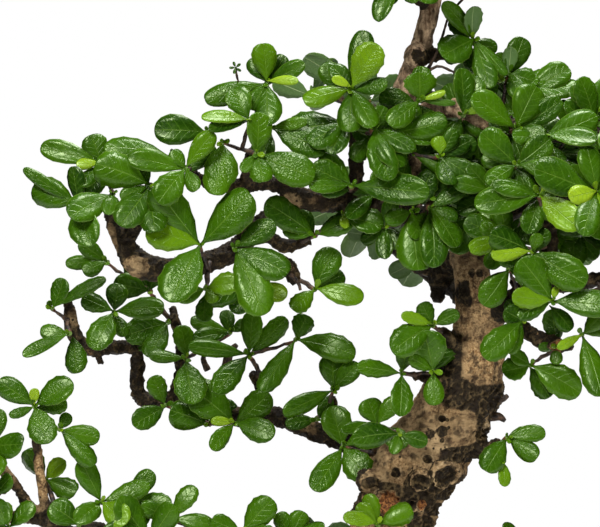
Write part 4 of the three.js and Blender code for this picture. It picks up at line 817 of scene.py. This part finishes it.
def pot_material(specks):
    """Unglazed brown clay: fine grit, faint lines of turning and lighter mottling."""
    clay = Finish("pot_clay")
    dots, = clay.effect(specks, scale=480, size=0.15, patches=90)
    broad, fine = clay.noise(22, 4), clay.noise(700, 5, 0.7)
    lines = clay.noise(60, 3, 0.5, clay.stretched(0.05, 0.05, 14))
    colour = clay.coated(
        clay.mix(broad.ramp(0.3, 0.7), (0.070, 0.036, 0.022), (0.115, 0.062, 0.040)),
        (fine.ramp(0.55, 0.8, 0, 0.5), (0.19, 0.12, 0.08)), (dots, (0.02, 0.012, 0.010)),
    )
    return clay.finish(colour, fine.ramp(0.3, 0.7, 0.5, 0.72), (fine + lines * 1.4, 0.35, 0.0006))


def screen_material():
    screen = Finish("screen")
    fine = screen.noise(1200, 3)
    colour = screen.mix(fine, (0.010, 0.011, 0.013), (0.030, 0.033, 0.036))
    return screen.finish(colour, 0.55, (fine, 0.3, 0.0003))


# The wood

def root_run(heading, reach, radius):
    """A surface root that leaves the trunk's foot and dives into the soil."""
    x, y, z, _ = ROOT_FOOT
    out = Vector((math.cos(math.radians(heading)), math.sin(math.radians(heading)), 0))
    return [(*(Vector((x, y, z - drop)) + out * reach * share), radius * size)
            for share, drop, size in ((0.3, -6, 1.4), (0.75, 2, 1), (1, 8, 0.5))]


def snags(runs, dice):
    """Short broken spurs along the branches."""
    made = []
    for run in runs:
        for a, b in zip(run[4:-2], run[5:]):
            if b.w > THICK_STEM or dice.draw() > SNAG_CHANCE:
                continue
            out = square_to(dice.sway(1), (b.xyz - a.xyz).normalized(), 0.7)
            length = b.w + dice.between(1.4, 4.2)
            bend = dice.sway(0.8)
            width = dice.between(0.7, 1.3)
            made.append([Vector((*(a.xyz + out * length * far + bend * off), width * thick))
                         for far, off, thick in ((0, 0, 1.3), (0.75, 1, 1), (1, 1.6, 0.5))])
    return made


def raw_wood(runs, dice):
    """One even skin over the rods of the wood, its snags and its knobs."""
    bm = bmesh_of(rods("rods", [*runs.values(), *snags(runs.values(), dice)], 3))
    for *place, radius in KNOBS:
        knob = bmesh.ops.create_icosphere(bm, subdivisions=3, radius=radius * MM)
        bmesh.ops.translate(bm, verts=knob["verts"], vec=(Vector(place) + TREE_SHIFT) * MM)
    holder = placed("rods", mesh_of(bm, "rods"))
    grid = holder.modifiers.new("grid", "REMESH")
    grid.mode = "VOXEL"
    grid.voxel_size = BARK_VOXEL * MM
    return bmesh_of(evaluated(holder, "wood"))


def finer_front(bm):
    """Halve the edges of the front of the lower trunk, where the photograph shows most."""
    near = []
    for edge in bm.edges:
        place = (edge.verts[0].co + edge.verts[1].co) / 2 / MM
        if 10 < place.x < 88 and 104 < place.z < 178 and place.y < 4:
            near.append(edge)
    bmesh.ops.subdivide_edges(bm, edges=near, cuts=1, use_grid_fill=True, smooth=0.4)


def front_places(bm):
    """Each mark's place on the bark that faces the front, with its radius and kind."""
    places = [vertex.co / MM for vertex in bm.verts]
    found = []
    for x, z, radius, kind in MARKS:
        near = [place for place in places if math.hypot(place.x - x, place.z - z) < MARK_SEARCH]
        if near:
            found.append((min(near, key=lambda place: place.y), radius, kind))
    return found


def mark_relief(gap, kind):
    """Height of the bark by the distance from a mark's middle, in its radii."""
    if kind in ("hole", "ring", "rust"):
        rim = 0.8 * math.exp(-((gap - 1.15) / 0.3) ** 2)
        bowl = -1.3 * smooth(-gap, -1.0, -0.5)
        rings = 0.3 * math.cos(gap * 15) * smooth(-gap, -1.9, -1.0) if kind == "ring" else 0
        return rim + bowl + rings
    if kind == "dark":
        return -0.7 * smooth(-gap, -1.2, -0.3)
    return 0.7 * smooth(-gap, -1.1, -0.6)


def band(gap, middle, width):
    """1 at a mark's ring of that radius, falling to 0 on both sides."""
    return clamp(1 - abs(gap - middle) / width)


def mark_masks(gap, kind, masks):
    """Dark, pale and rust shares near a mark, on top of what the bark had there."""
    dark, pale, rust = masks
    if kind in ("hole", "ring"):
        rim = band(gap, 1.25, 0.22)
        dark = max(dark * (1 - rim * 0.9), clamp(0.5 + (1.0 - gap) * 1.1))
        pale = max(pale, rim * 0.4)
        if kind == "ring":
            dark = max(dark, band(gap, 1.75, 0.3) * 0.7)
    elif kind == "dark":
        dark = max(dark, clamp(1.55 - gap))
    elif kind == "rust":
        rust = max(rust, clamp(0.5 + (1.0 - gap) * 1.4))
        dark = max(dark * smooth(gap, 0.9, 1.2), band(gap, 1.25, 0.25) * 0.75)
        pale = max(pale, band(gap, 1.5, 0.25) * 0.5)
    else:
        inside = clamp(0.5 + (1.05 - gap) * 1.6)
        dark *= 1 - inside
        pale = max(pale, inside * (0.8 if kind == "pale" else 0.1))
    return dark, pale, rust


def bark_relief(place, girth, darkness):
    """Height of the bark and its painted light, high on ridges and low in crevices, on wood of that radius
    and darkness.
    """
    lumps = noise.fractal(place / 13, 1.0, 2.0, 3) * 0.09 * girth
    calm = noise.noise(place / 6) * 0.35 + noise.noise(place / 1.6) * 0.14
    # Folded noise is near 1 along thin ridges and lower between them.
    wide, fine = (1 - abs(noise.noise(place / size)) * 2.4 for size in (3.7, 1.9))
    crag = wide * 0.55 + fine * 0.45 - 0.5
    knots = max(0, noise.noise(place / 5.5) - 0.1) * 2.4
    rough = clamp(darkness * 1.3) * (0.9 + 0.2 * smooth(girth, 4, 9))
    relief = calm * (1 - rough * 0.6) + rough * (crag * 1.5 + knots * 0.5)
    return lumps + relief, clamp(0.5 + crag * 0.9 + calm * 0.4)


def reach_of(place, patches):
    """Distance to the nearest patch's middle, in shares of the patch's size."""
    return min(math.hypot((place.x - x) / half_x, (place.z - z) / half_z)
               for x, z, half_x, half_z in patches)


def flakiness_at(place):
    """How golden and flaking the bark is, from 0 to 1."""
    return clamp(1.5 - reach_of(place, FLAKY_PATCHES) * 1.2) * smooth(-place.y, -6, 2)


def darkness_at(place, girth):
    """How near black the bark is, from 0 to 1."""
    patch = max(0.0, 1.6 - 1.1 * reach_of(place, DARK_PATCHES))
    warp = noise.noise(place / 9) * 0.35 + noise.noise(place / 4) * 0.2
    on_trunk = clamp(patch * smooth(-place.y, -9, 4) + 0.04 + warp * 0.6)
    on_trunk *= 1 - 0.85 * flakiness_at(place)
    behind = clamp(0.34 + noise.noise(place / 14) * 0.9)
    on_trunk = max(on_trunk, behind * smooth(place.y, -2, 8))
    bare = clamp(1.3 - reach_of(place, LIGHT_PATCHES))
    on_branch = clamp(0.84 + noise.noise(place / 7) * 0.5 - bare * 0.65)
    return on_trunk + (on_branch - on_trunk) * smooth(-girth, -8.5, -5.5)


def tree_of(places):
    """A search tree of places; a radius after x, y and z is left out."""
    tree = KDTree(len(places))
    for i, place in enumerate(places):
        tree.insert(place[:3], i)
    tree.balance()
    return tree


def grow_wood(runs, dice):
    """Trunk, roots, branches, snags and knobs as one skin with bark relief and its masks."""
    bm = raw_wood(runs, dice)
    bmesh.ops.smooth_vert(bm, verts=bm.verts, factor=0.5, use_axis_x=True, use_axis_y=True,
                          use_axis_z=True)
    finer_front(bm)
    bm.normal_update()
    places = [point for run in runs.values() for point in run]
    stem = [point for point in runs["trunk"] if point.w > THICK_STEM]
    tree, stem_tree = tree_of(places), tree_of(stem)
    # The fifth mask carries painted light from the relief: high on its ridges, which are coloured lighter,
    # and low in its crevices, which are coloured near black.
    names = ("dark", "pale", "rust", "crest", "young", "flaky")
    layers = [bm.verts.layers.float.new(name) for name in names]
    marks = front_places(bm)
    for vertex in bm.verts:
        place = vertex.co / MM
        girth = max(places[i].w for _, i, _ in tree.find_n(place, 3))
        _, inner, gap = stem_tree.find(place)
        if gap < stem[inner].w + 2:
            girth = max(girth, stem[inner].w)
        young = smooth(place.z, 258, 286) * smooth(girth, 3.4, 4.2)
        masks = darkness_at(place, girth) * (1 - 0.85 * young), 0.0, 0.0
        height, lit_share = bark_relief(place, girth, masks[0])
        for middle, radius, kind in marks:
            gap = (place - middle).length / radius + noise.noise(place / 1.7) * 0.22
            if gap < MARK_REACH:
                height += mark_relief(gap, kind) * min(1, radius / 2.6)
                masks = mark_masks(gap, kind, masks)
        for layer, mask in zip(layers, (*masks, lit_share, young, flakiness_at(place))):
            vertex[layer] = mask
        vertex.co += vertex.normal * height * MM
    return mesh_of(bm, "wood")


# Twigs

def curve_run(start, out, tip, axis, dice):
    """Places along a twig that leaves start towards out and ends at tip along axis."""
    reach = (tip - start).length
    first = start + out * reach * 0.35
    second = tip - axis * reach * 0.33
    count = max(3, round(reach / TWIG_STEP))
    run = []
    for t in (k / count for k in range(count + 1)):
        place = (start * (1 - t) ** 3 + first * 3 * t * (1 - t) ** 2
                 + second * 3 * t ** 2 * (1 - t) + tip * t ** 3)
        run.append(place + dice.sway(0.35 * math.sin(math.pi * t)))
    return run


def foot_of(run, middle):
    """Where a spray leaves its branch, and in which direction."""
    near = min(range(len(run)), key=lambda i: (run[i].xyz - middle).length)
    gap = (run[near].xyz - middle).length
    i = max(0, min(len(run) - 2, near - round(gap * 0.25 / ROUTE_STEP)))
    along = (run[i + 1].xyz - run[i].xyz).normalized()
    out = square_to(middle - run[i].xyz, along, 0.5)
    return run[i].xyz + out * run[i].w * 0.6, out


def twig_runs(runs, dice):
    """All twigs as places along each, with its thickness at the start."""
    made = []
    for branch, whorls in SPRAYS.values():
        foot, out = foot_of(runs[branch], sum((tip for tip, _, _ in whorls), Vector()) / len(whorls))
        own = []
        for tip, axis, _ in sorted(whorls, key=lambda whorl: (whorl[0] - foot).length):
            start, towards, thick = foot, out, 1.25
            if own:
                start = min(own, key=lambda place: (place - tip).length)
                towards, thick = (tip - start).normalized(), 0.9
            run = curve_run(start, towards, tip, axis, dice)
            own += run[len(run) // 5:]
            made.append((run, thick))
    return made


def grow_twigs(routes, dice):
    """Every twig: knotty, thinner towards its end and swollen under the whorl."""
    runs, youth = [], []
    for run, thick in routes:
        last = len(run) - 1
        sized = []
        for k, place in enumerate(run):
            t = k / last
            radius = thick * (1 - 0.4 * t) * (1 + dice.spread(0.2))
            radius += 0.5 * math.exp(-((1 - t) * last * TWIG_STEP / 1.8) ** 2)
            sized.append(Vector((*place, radius)))
            youth.append((place, t ** 1.5))
        runs.append(sized)
    for points in STRAY_TWIGS.values():
        runs.append(smooth_run(points, STRAY_STEP))
        youth += [(point.xyz, 0.0) for point in runs[-1]]
    tree = tree_of([place for place, _ in youth])
    bm = bmesh_of(rods("twigs", runs, 2))
    bm.normal_update()
    layer = bm.verts.layers.float.new("youth")
    for vertex in bm.verts:
        place = vertex.co / MM
        vertex[layer] = youth[tree.find(place)[1]][1]
        vertex.co += vertex.normal * noise.noise(place / 1.1) * 0.22 * MM
    return mesh_of(bm, "twigs")


# Leaves

# Shares of the length, and of the half width there, from the stalk to the tip.
BLADE = (
    (0.0, 0.06), (0.08, 0.11), (0.18, 0.34), (0.29, 0.62), (0.4, 0.81), (0.52, 0.95), (0.63, 1.0),
    (0.73, 0.99), (0.82, 0.9), (0.89, 0.765), (0.94, 0.62), (0.972, 0.46), (0.995, 0.24),
)
ROWS, COLUMNS = len(BLADE) - 1, 4
TIP_NOTCH = (-0.004, 0.003, 0.0)


def leaf_direction(axis, heading):
    """Out of the whorl towards a heading seen from the front, square to its axis if it can be."""
    heading = math.radians(heading)
    in_view = Vector((math.cos(heading), 0, math.sin(heading)))
    towards = Vector((0, -1, 0))
    facing = towards.dot(axis)
    lean = 0 if abs(facing) < 0.2 else -in_view.dot(axis) / facing
    return (in_view + towards * clamp(lean, -0.8, 0.8)).normalized()


class Foliage:
    """Leaves of one spray, gathered in one mesh with the blade's own map and tone."""

    def __init__(self, dice):
        self.bm = bmesh.new()
        self.map = self.bm.loops.layers.uv.new("blade")
        self.tone = self.bm.verts.layers.float.new("tone")
        self.dice = dice

    def add(self, base, along, normal, length, width, tone):
        """One blade: folded at the midrib, its rims curled back, drooping and a little wavy."""
        dice = self.dice
        across = along.cross(normal)
        fold, curl, droop = dice.between(0.28, 0.72), dice.between(0.3, 0.7), dice.between(0.03, 0.24)
        twist, skew = dice.spread(0.22), dice.spread(0.05)
        waves = dice.between(4, 7), dice.spread(math.pi), dice.between(0.0, 0.09)
        teeth = dice.between(0.0, 0.05) if length > 11 else 0.01
        mellow = clamp((tone + dice.spread(0.7)) / 9)
        grid = bmesh.ops.create_grid(self.bm, x_segments=COLUMNS, y_segments=ROWS, size=0.5)
        shares = {}
        for vertex in grid["verts"]:
            column = round((vertex.co.x + 0.5) * COLUMNS) - COLUMNS // 2
            row = round((vertex.co.y + 0.5) * ROWS)
            u, half = BLADE[row]
            v = column * 2 / COLUMNS
            if row == ROWS:
                u += TIP_NOTCH[COLUMNS // 2 - abs(column)]
            elif 2 < row < ROWS - 1 and abs(column) == COLUMNS // 2:
                half *= 1 + teeth * (1 if row % 2 else -1)
            half *= width / 2
            shares[vertex] = ((v + 1) / 2, u)
            lift = fold * abs(v) * half - curl * v * v * half
            lift += waves[2] * abs(v) * half * math.sin(u * waves[0] + waves[1] + v)
            side = v * half + skew * math.sin(math.pi * u) * length * 0.5
            sine, cosine = math.sin(twist * u), math.cos(twist * u)
            place = base + along * (u * length * (1 - 0.3 * droop * u))
            place += across * (side * cosine - lift * sine)
            place += normal * (lift * cosine + side * sine - droop * u * u * length)
            vertex.co = place * MM
            vertex[self.tone] = mellow
        for face in {face for vertex in grid["verts"] for face in vertex.link_faces}:
            for loop in face.loops:
                loop[self.map].uv = shares[loop.vert]

    def whorl(self, tip, axis, leaves):
        """The leaves of one whorl, young ones in its middle and shaded ones under it."""
        dice = self.dice
        if isinstance(leaves, int):
            listed = self.rosette(axis, leaves)
        else:
            listed = [(leaf_direction(axis, heading), length, width, tone, 22, True)
                      for heading, length, width, tone in sorted(leaves, key=lambda leaf: leaf[3])]
        for order, (flat, length, width, tone, lift, seen) in enumerate(listed):
            lift += dice.spread(8)
            along = (flat + axis * math.tan(math.radians(lift))).normalized()
            normal = turned(square_to(axis, along), along, dice.spread(14))
            if tone == 0:
                normal = -normal
            if seen:
                length *= min(1.3, 1 / math.hypot(along.x, along.z))
            self.add(tip + axis * (0.65 * order - 0.6), along, normal, length, width * 1.09, tone)
        self.young(tip, axis)
        self.shaded(tip, axis)

    def spiral(self, axis, aside):
        """Directions square to the axis, each a golden angle on, from a drawn start."""
        sideways = Vector(aside).cross(axis).normalized()
        start = self.dice.spread(180)
        return (turned(sideways, axis, start + order * GOLDEN_ANGLE) for order in range(20))

    def rosette(self, axis, count):
        """Leaves set round the axis, alike but for their size and tone."""
        dice = self.dice
        leaves = []
        for flat, _ in zip(self.spiral(axis, (0.2, 0.1, 1)), range(count)):
            size = 1 + dice.spread(0.18)
            leaves.append((flat, 20 * size, 10.5 * size, 3 + dice.spread(1.6), 32, False))
        return leaves

    def young(self, tip, axis):
        """Small young leaves that stand close round the bud."""
        dice = self.dice
        spiral = self.spiral(axis, (0.3, 0.2, 1))
        for _ in range(1 + round(dice.draw() * 2)):
            along = (next(spiral) * dice.between(0.2, 0.9) + axis).normalized()
            length, tone = dice.between(2.2, 5.2), dice.between(4.2, 8.4)
            self.add(tip + axis * 0.8, along, square_to(axis, along), length, length * 0.5, tone)

    def shaded(self, tip, axis):
        """Dark leaves lower on the twig, most where the crown is thick."""
        dice = self.dice
        thick = smooth(tip.x, -10, 60) * smooth(tip.z, 205, 232)
        thick *= smooth(math.hypot(tip.x - PEEP[0], tip.z - PEEP[1]), 8, 18)
        spiral = self.spiral(axis, (0.1, 0.3, 1))
        for _ in range(round(dice.draw() * 0.8 * (tip.z > 150) + thick * 3.6)):
            along = (next(spiral) + axis * dice.between(0, 0.5)).normalized()
            length = dice.between(11, 19)
            base = tip - axis * dice.between(3, 8)
            tone = dice.between(1.6, 3.4)
            self.add(base, along, square_to(axis, along), length, length * 0.56, tone)

    def calyx(self):
        """A dry star of narrow lobes that faces the front."""
        axis = Vector((0.1, -1, 0.15)).normalized()
        for lobe in range(CALYX.lobes):
            along = turned(Vector((0, 0, 1)), axis, 20 + lobe * 360 / CALYX.lobes)
            self.add(CALYX.place, along, axis, 2.8, 1.2, 1.5)


def grow_leaves(leaf_finishes, dice):
    """One piece of leaves for each spray, standing for that spray's solid."""
    for name, (_, whorls) in SPRAYS.items():
        foliage = Foliage(dice)
        for tip, axis, leaves in whorls:
            foliage.whorl(tip, axis, leaves)
        if name == CALYX.spray:
            foliage.calyx()
        made = piece(f"leaves_{name}", mesh_of(foliage.bm, name), leaf_finishes, "leaf",
                     f"spray_{name}")
        thick = made.modifiers.new("thickness", "SOLIDIFY")
        thick.thickness = LEAF_THICKNESS * MM
        thick.offset = -1
        thick.material_offset = 1
        thick.material_offset_rim = 0


# Soil and moss

def rounded(x, y, half_x, half_y, corner):
    """Signed distance from a rounded rectangle's edge, below zero inside."""
    qx, qy = abs(x) - half_x + corner, abs(y) - half_y + corner
    return math.hypot(max(qx, 0), max(qy, 0)) + min(max(qx, qy), 0) - corner


def inside_of_pot(room):
    """Half sizes and corner radius of the pot's inside, less some room."""
    return BODY_X - POT.wall - room, BODY_Y - POT.wall - room, POT.corner - POT.wall


def soil_height(x, y):
    """Height of the soil's rough dome."""
    dome = math.sqrt(max(0, 1 - (x / (POT.length * 0.66)) ** 2 - (y / (POT.depth * 0.66)) ** 2))
    place = Vector((x, y, 0))
    rough = noise.noise(place / 9) * 1.1 + noise.noise(place / 3) * 0.5
    return SOIL.rim + SOIL.mound * (dome - 0.35) * 1.2 + rough * 0.8


def grow_soil():
    """The mound of soil inside the pot, with closed sides and bottom."""
    half_x, half_y, corner = inside_of_pot(0.4)
    inner_x, inner_y = half_x - corner, half_y - corner
    bm = bmesh.new()
    for vertex in bmesh.ops.create_grid(bm, x_segments=96, y_segments=68, size=0.5)["verts"]:
        x, y = vertex.co.x * 2 * half_x, vertex.co.y * 2 * half_y
        if rounded(x, y, half_x, half_y, corner) > 0:
            core = Vector((clamp(x, -inner_x, inner_x), clamp(y, -inner_y, inner_y)))
            x, y = core + (Vector((x, y)) - core).normalized() * corner
        vertex.co = Vector((x, y, soil_height(x, y))) * MM
    bmesh.ops.remove_doubles(bm, verts=bm.verts, dist=0.05 * MM)
    rim = [edge for edge in bm.edges if edge.is_boundary]
    for low in bmesh.ops.extrude_edge_only(bm, edges=rim)["geom"]:
        if isinstance(low, bmesh.types.BMVert):
            low.co = Vector((low.co.x * 0.9, low.co.y * 0.9, SOIL.low * MM))
    bmesh.ops.contextual_create(bm, geom=[edge for edge in bm.edges if edge.is_boundary])
    bmesh.ops.recalc_face_normals(bm, faces=bm.faces)
    return mesh_of(bm, "soil")


def trunk_foot():
    """Where the trunk stands: x and y."""
    return Vector(ROOT_FOOT[:2]) + TREE_SHIFT.xy


def scatter(count, dice, clear):
    """Places on the soil inside the rim and clear of the trunk's foot."""
    half_x, half_y, corner = inside_of_pot(1.5)
    places = []
    while len(places) < count:
        x, y = dice.spread(half_x), dice.spread(half_y)
        off = (Vector((x, y)) - trunk_foot()).length
        if rounded(x, y, half_x, half_y, corner) < 0 and off > clear:
            places.append(Vector((x, y, soil_height(x, y))))
    return places


def grow_grit(dice):
    """Loose grains of baked clay, lava and pumice on the soil."""
    bm = bmesh.new()
    kind = bm.verts.layers.float.new("kind")
    for place in scatter(GRAINS, dice, 20):
        grain = bmesh.ops.create_icosphere(bm, subdivisions=1, radius=1)["verts"]
        size = dice.between(0.8, 1.9)
        stretch = Vector((dice.between(0.8, 1.3), dice.between(0.8, 1.3), dice.between(0.6, 1)))
        shade = dice.draw()
        for vertex in grain:
            bumpy = 1 + noise.noise(vertex.co * 1.7 + place) * 0.45
            vertex.co = (place + vertex.co * stretch * size * bumpy) * MM
            vertex[kind] = shade
    return mesh_of(bm, "grit")


def grow_moss(dice):
    """Low cushions of moss round the foot and in the corners."""
    bm = bmesh.new()
    for i, place in enumerate(scatter(CUSHIONS, dice, 17)):
        if i % 2:
            around = Vector((dice.spread(1), dice.spread(1), 0)).normalized()
            x, y = trunk_foot() + around.xy * dice.between(24, 38)
            place = Vector((x, y, soil_height(x, y)))
        size = dice.between(5, 11)
        for vertex in bmesh.ops.create_icosphere(bm, subdivisions=4, radius=1)["verts"]:
            out = vertex.co.copy()
            flat = place + Vector((out.x * size, out.y * size, out.z * size * 0.34))
            lump = noise.noise(flat / 3.2) * 1.3 + noise.noise(flat / 0.9) * 0.35
            vertex.co = (flat + out * lump) * MM
    return mesh_of(bm, "moss")


# The pot

def outline_ring(bm, half_x, half_y, corner, z):
    """A closed ring of edges round a rounded rectangle, its corners drawn by a circle's quarters."""
    ring = bmesh.ops.create_circle(bm, segments=RING_SEGMENTS, radius=corner)["verts"]
    turn = Matrix.Rotation(math.pi / RING_SEGMENTS, 3, "Z")
    bmesh.ops.rotate(bm, verts=ring, cent=(0, 0, 0), matrix=turn)
    for vertex in ring:
        x = vertex.co.x + math.copysign(half_x - corner, vertex.co.x)
        y = vertex.co.y + math.copysign(half_y - corner, vertex.co.y)
        vertex.co = Vector((x, y, z)) * MM
    return ring


def pot_profile():
    """Rings of the pot from under its floor, up the outside, over the lip and down inside."""
    low, high, top = FOOT.height, POT.height - LIP.height, POT.height
    lip, wall = LIP.reach, -POT.wall
    bulges = ((0, 0), (0.12, 0.8), (0.35, 1.5), (0.6, 1.6), (0.85, 0.9), (1, 0))
    # Each row: share of the body's half sizes, what is added to them and to the corner, height.
    rows = (
        (0.9, -5, -8, low),
        *((POT.taper + (0.985 - POT.taper) * share, bulge, -3,
           low + (high - low) * share + (0 if share else 0.8)) for share, bulge in bulges),
        (1, 0.2, -3, high + 0.4), (1, lip - 1.2, 0, high + 1.2), (1, lip, 0, high + 3),
        (1, lip, 0, top - 2.4), (1, lip - 0.7, 0, top - 0.8), (1, lip - 2.2, -1, top),
        (1, wall + 2, -6, top), (1, wall + 0.6, -7, top - 1), (1, wall, -8, top - 3),
        (0.91, wall * 0.91, -9, POT.floor),
    )
    return [(BODY_X * share + more, BODY_Y * share + more, POT.corner + round_off, z)
            for share, more, round_off, z in rows]


def grow_pot():
    """The fired body: walls and lip from stacked rings, four feet, and two drain holes."""
    bm = bmesh.new()
    rings = [outline_ring(bm, *place) for place in pot_profile()]
    for low, high in zip(rings, rings[1:]):
        members = {*low}, {*high}
        edges = [e for e in bm.edges if any(e.verts[0] in m and e.verts[1] in m for m in members)]
        bmesh.ops.bridge_loops(bm, edges=edges)
    for ring in (rings[0], rings[-1]):
        bmesh.ops.contextual_create(bm, geom=ring)
    bmesh.ops.recalc_face_normals(bm, faces=bm.faces)
    middle = Vector((BODY_X - FOOT.inset - FOOT.length / 2, BODY_Y - FOOT.inset / 2 - FOOT.depth / 2))
    for side_x, side_y in ((-1, -1), (-1, 1), (1, -1), (1, 1)):
        foot = bmesh.ops.create_cube(bm, size=1)["verts"]
        for vertex in foot:
            flare = 0.94 if vertex.co.z < 0 else 1.0
            vertex.co = Vector((
                side_x * middle.x + vertex.co.x * FOOT.length * flare,
                side_y * middle.y + vertex.co.y * FOOT.depth * flare,
                (vertex.co.z + 0.5) * (FOOT.height + 1),
            )) * MM
        edges = {edge for vertex in foot for edge in vertex.link_edges}
        bmesh.ops.bevel(bm, geom=sorted(edges, key=lambda edge: edge.verts[0].co.x),
                        offset=1.6 * MM, affect="EDGES", segments=3, profile=0.5, material=-1)
    return cut_drains(mesh_of(bm, "pot"))


def cut_drains(mesh):
    """The pot with its two drain holes, under the screens."""
    bm = bmesh.new()
    for side in (-1, 1):
        hole = bmesh.ops.create_cone(
            bm, cap_ends=True, segments=40, radius1=DRAIN.radius * MM, radius2=DRAIN.radius * MM,
            depth=POT.floor * 2 * MM)["verts"]
        bmesh.ops.translate(bm, verts=hole, vec=Vector((side * DRAIN.spacing / 2, 0, 12)) * MM)
    holder, cutter = placed("pot", mesh), placed("drains", mesh_of(bm, "drains"))
    cut = holder.modifiers.new("drains", "BOOLEAN")
    cut.operation = "DIFFERENCE"
    cut.object = cutter
    cut.solver = "EXACT"
    made = evaluated(holder, "pot")
    bpy.data.objects.remove(cutter)
    return made


# Studio

def area_light(name, place, aim, size, power, mirrored=True):
    """A soft box; one that is not mirrored fills shadows without a glint of its own."""
    lamp = bpy.data.lights.new(name, "AREA")
    lamp.shape = "RECTANGLE"
    lamp.size, lamp.size_y = size
    lamp.energy = power
    holder = placed(name, lamp)
    holder.visible_glossy = mirrored
    holder.location = place
    holder.rotation_euler = (Vector(aim) - Vector(place)).to_track_quat("-Z", "Y").to_euler()


def studio():
    """A pale floor, a white surround and broad soft lights."""
    bm = bmesh.new()
    bmesh.ops.create_circle(bm, cap_ends=True, segments=RING_SEGMENTS, radius=FLOOR_RADIUS * MM)
    floor = placed("floor", mesh_of(bm, "floor"))
    pale = Finish("floor")
    rim = pale.node("VectorMath", 1, {0: pale.place}, operation="LENGTH").ramp(0.3, 0.6)
    floor.data.materials.append(pale.finish(
        pale.mix(rim, (0.9, 0.9, 0.9), (0, 0, 0)), 0.9, emission_color=(1, 1, 1),
        emission_strength=rim, specular_ior_level=0.0,
    ))
    world = bpy.data.worlds.new("surround")
    world.use_nodes = True
    wiring = Wiring(world.node_tree)
    strength = wiring.node("LightPath", "Is Camera Ray", {}).ramp(0, 1, 0.2, 1)
    wiring.give(wiring.nodes["Background"].inputs["Strength"], strength)
    wiring.give(wiring.nodes["Background"].inputs["Color"], (1, 1, 1))
    world.cycles_visibility.glossy = False
    bpy.context.scene.world = world
    area_light("key", (-0.45, -0.95, 1.2), (0, 0, 0.22), (0.5, 0.35), 24)
    area_light("fill", (0.9, -1.1, 0.5), (0, 0, 0.22), (0.7, 0.7), 9, mirrored=False)
    area_light("top", (0.2, 0.2, 1.3), (0, 0, 0.2), (0.6, 0.4), 18)
    bpy.context.scene.view_settings.view_transform = "Standard"


def camera():
    """The photograph's frame: 252 mm wide at the trunk, seen from 4 degrees above."""
    target, rise = Vector((-4.2, -6, 224.4)), math.radians(4)
    distance, width = 1200, 252
    lens = bpy.data.cameras.new("photo")
    lens.sensor_width = 36
    lens.lens = lens.sensor_width * distance / width
    lens.clip_start, lens.clip_end = 0.05, 60
    holder = placed("photo", lens)
    back = Vector((0, -math.cos(rise), math.sin(rise)))
    holder.location = target * MM + back * (distance * MM)
    holder.rotation_euler = (-back).to_track_quat("-Z", "Y").to_euler()
    bpy.context.scene.camera = holder


def dress():
    """Every visible piece of the tree and its pot, and the look of the screens."""
    dice = Dice(SEED)
    specks = effect_group("specks", "place", ("scale", "size", "patches"), ("specks",), draw_specks)
    scales = effect_group("scales", "place", ("scale", "share"), ("lumps", "height"), draw_scales)
    blade_lines = effect_group("blade_lines", "blade", ("veins",), ("vein", "rib", "rim"), draw_blade)
    runs = {name: smooth_run(points, ROUTE_STEP) for name, points in WOOD.items()}
    for i, root in enumerate(ROOTS):
        runs[f"root_{i}"] = smooth_run(root_run(*root), ROUTE_STEP)
    piece("wood", grow_wood(runs, dice), [bark_material(specks, scales)], "bark", "trunk")
    piece("twigs", grow_twigs(twig_runs(runs, dice), dice), [twig_material(scales)], "bark")
    grow_leaves([leaf_material(specks, blade_lines), underside_material(blade_lines)], dice)
    piece("soil_mound", grow_soil(), [soil_material()], "soil", "soil")
    piece("grit", grow_grit(dice), [grit_material()], "soil")
    piece("moss", grow_moss(dice), [moss_material()], "soil")
    piece("pot_body", grow_pot(), [pot_material(specks)], "pot_ceramic", "pot")
    mesh_finish = screen_material()
    for side in ("left", "right"):
        materials = frame["nodes"][f"drain_screen_{side}"].data.materials
        materials.clear()
        materials.append(mesh_finish)


camera()
studio()
dress()
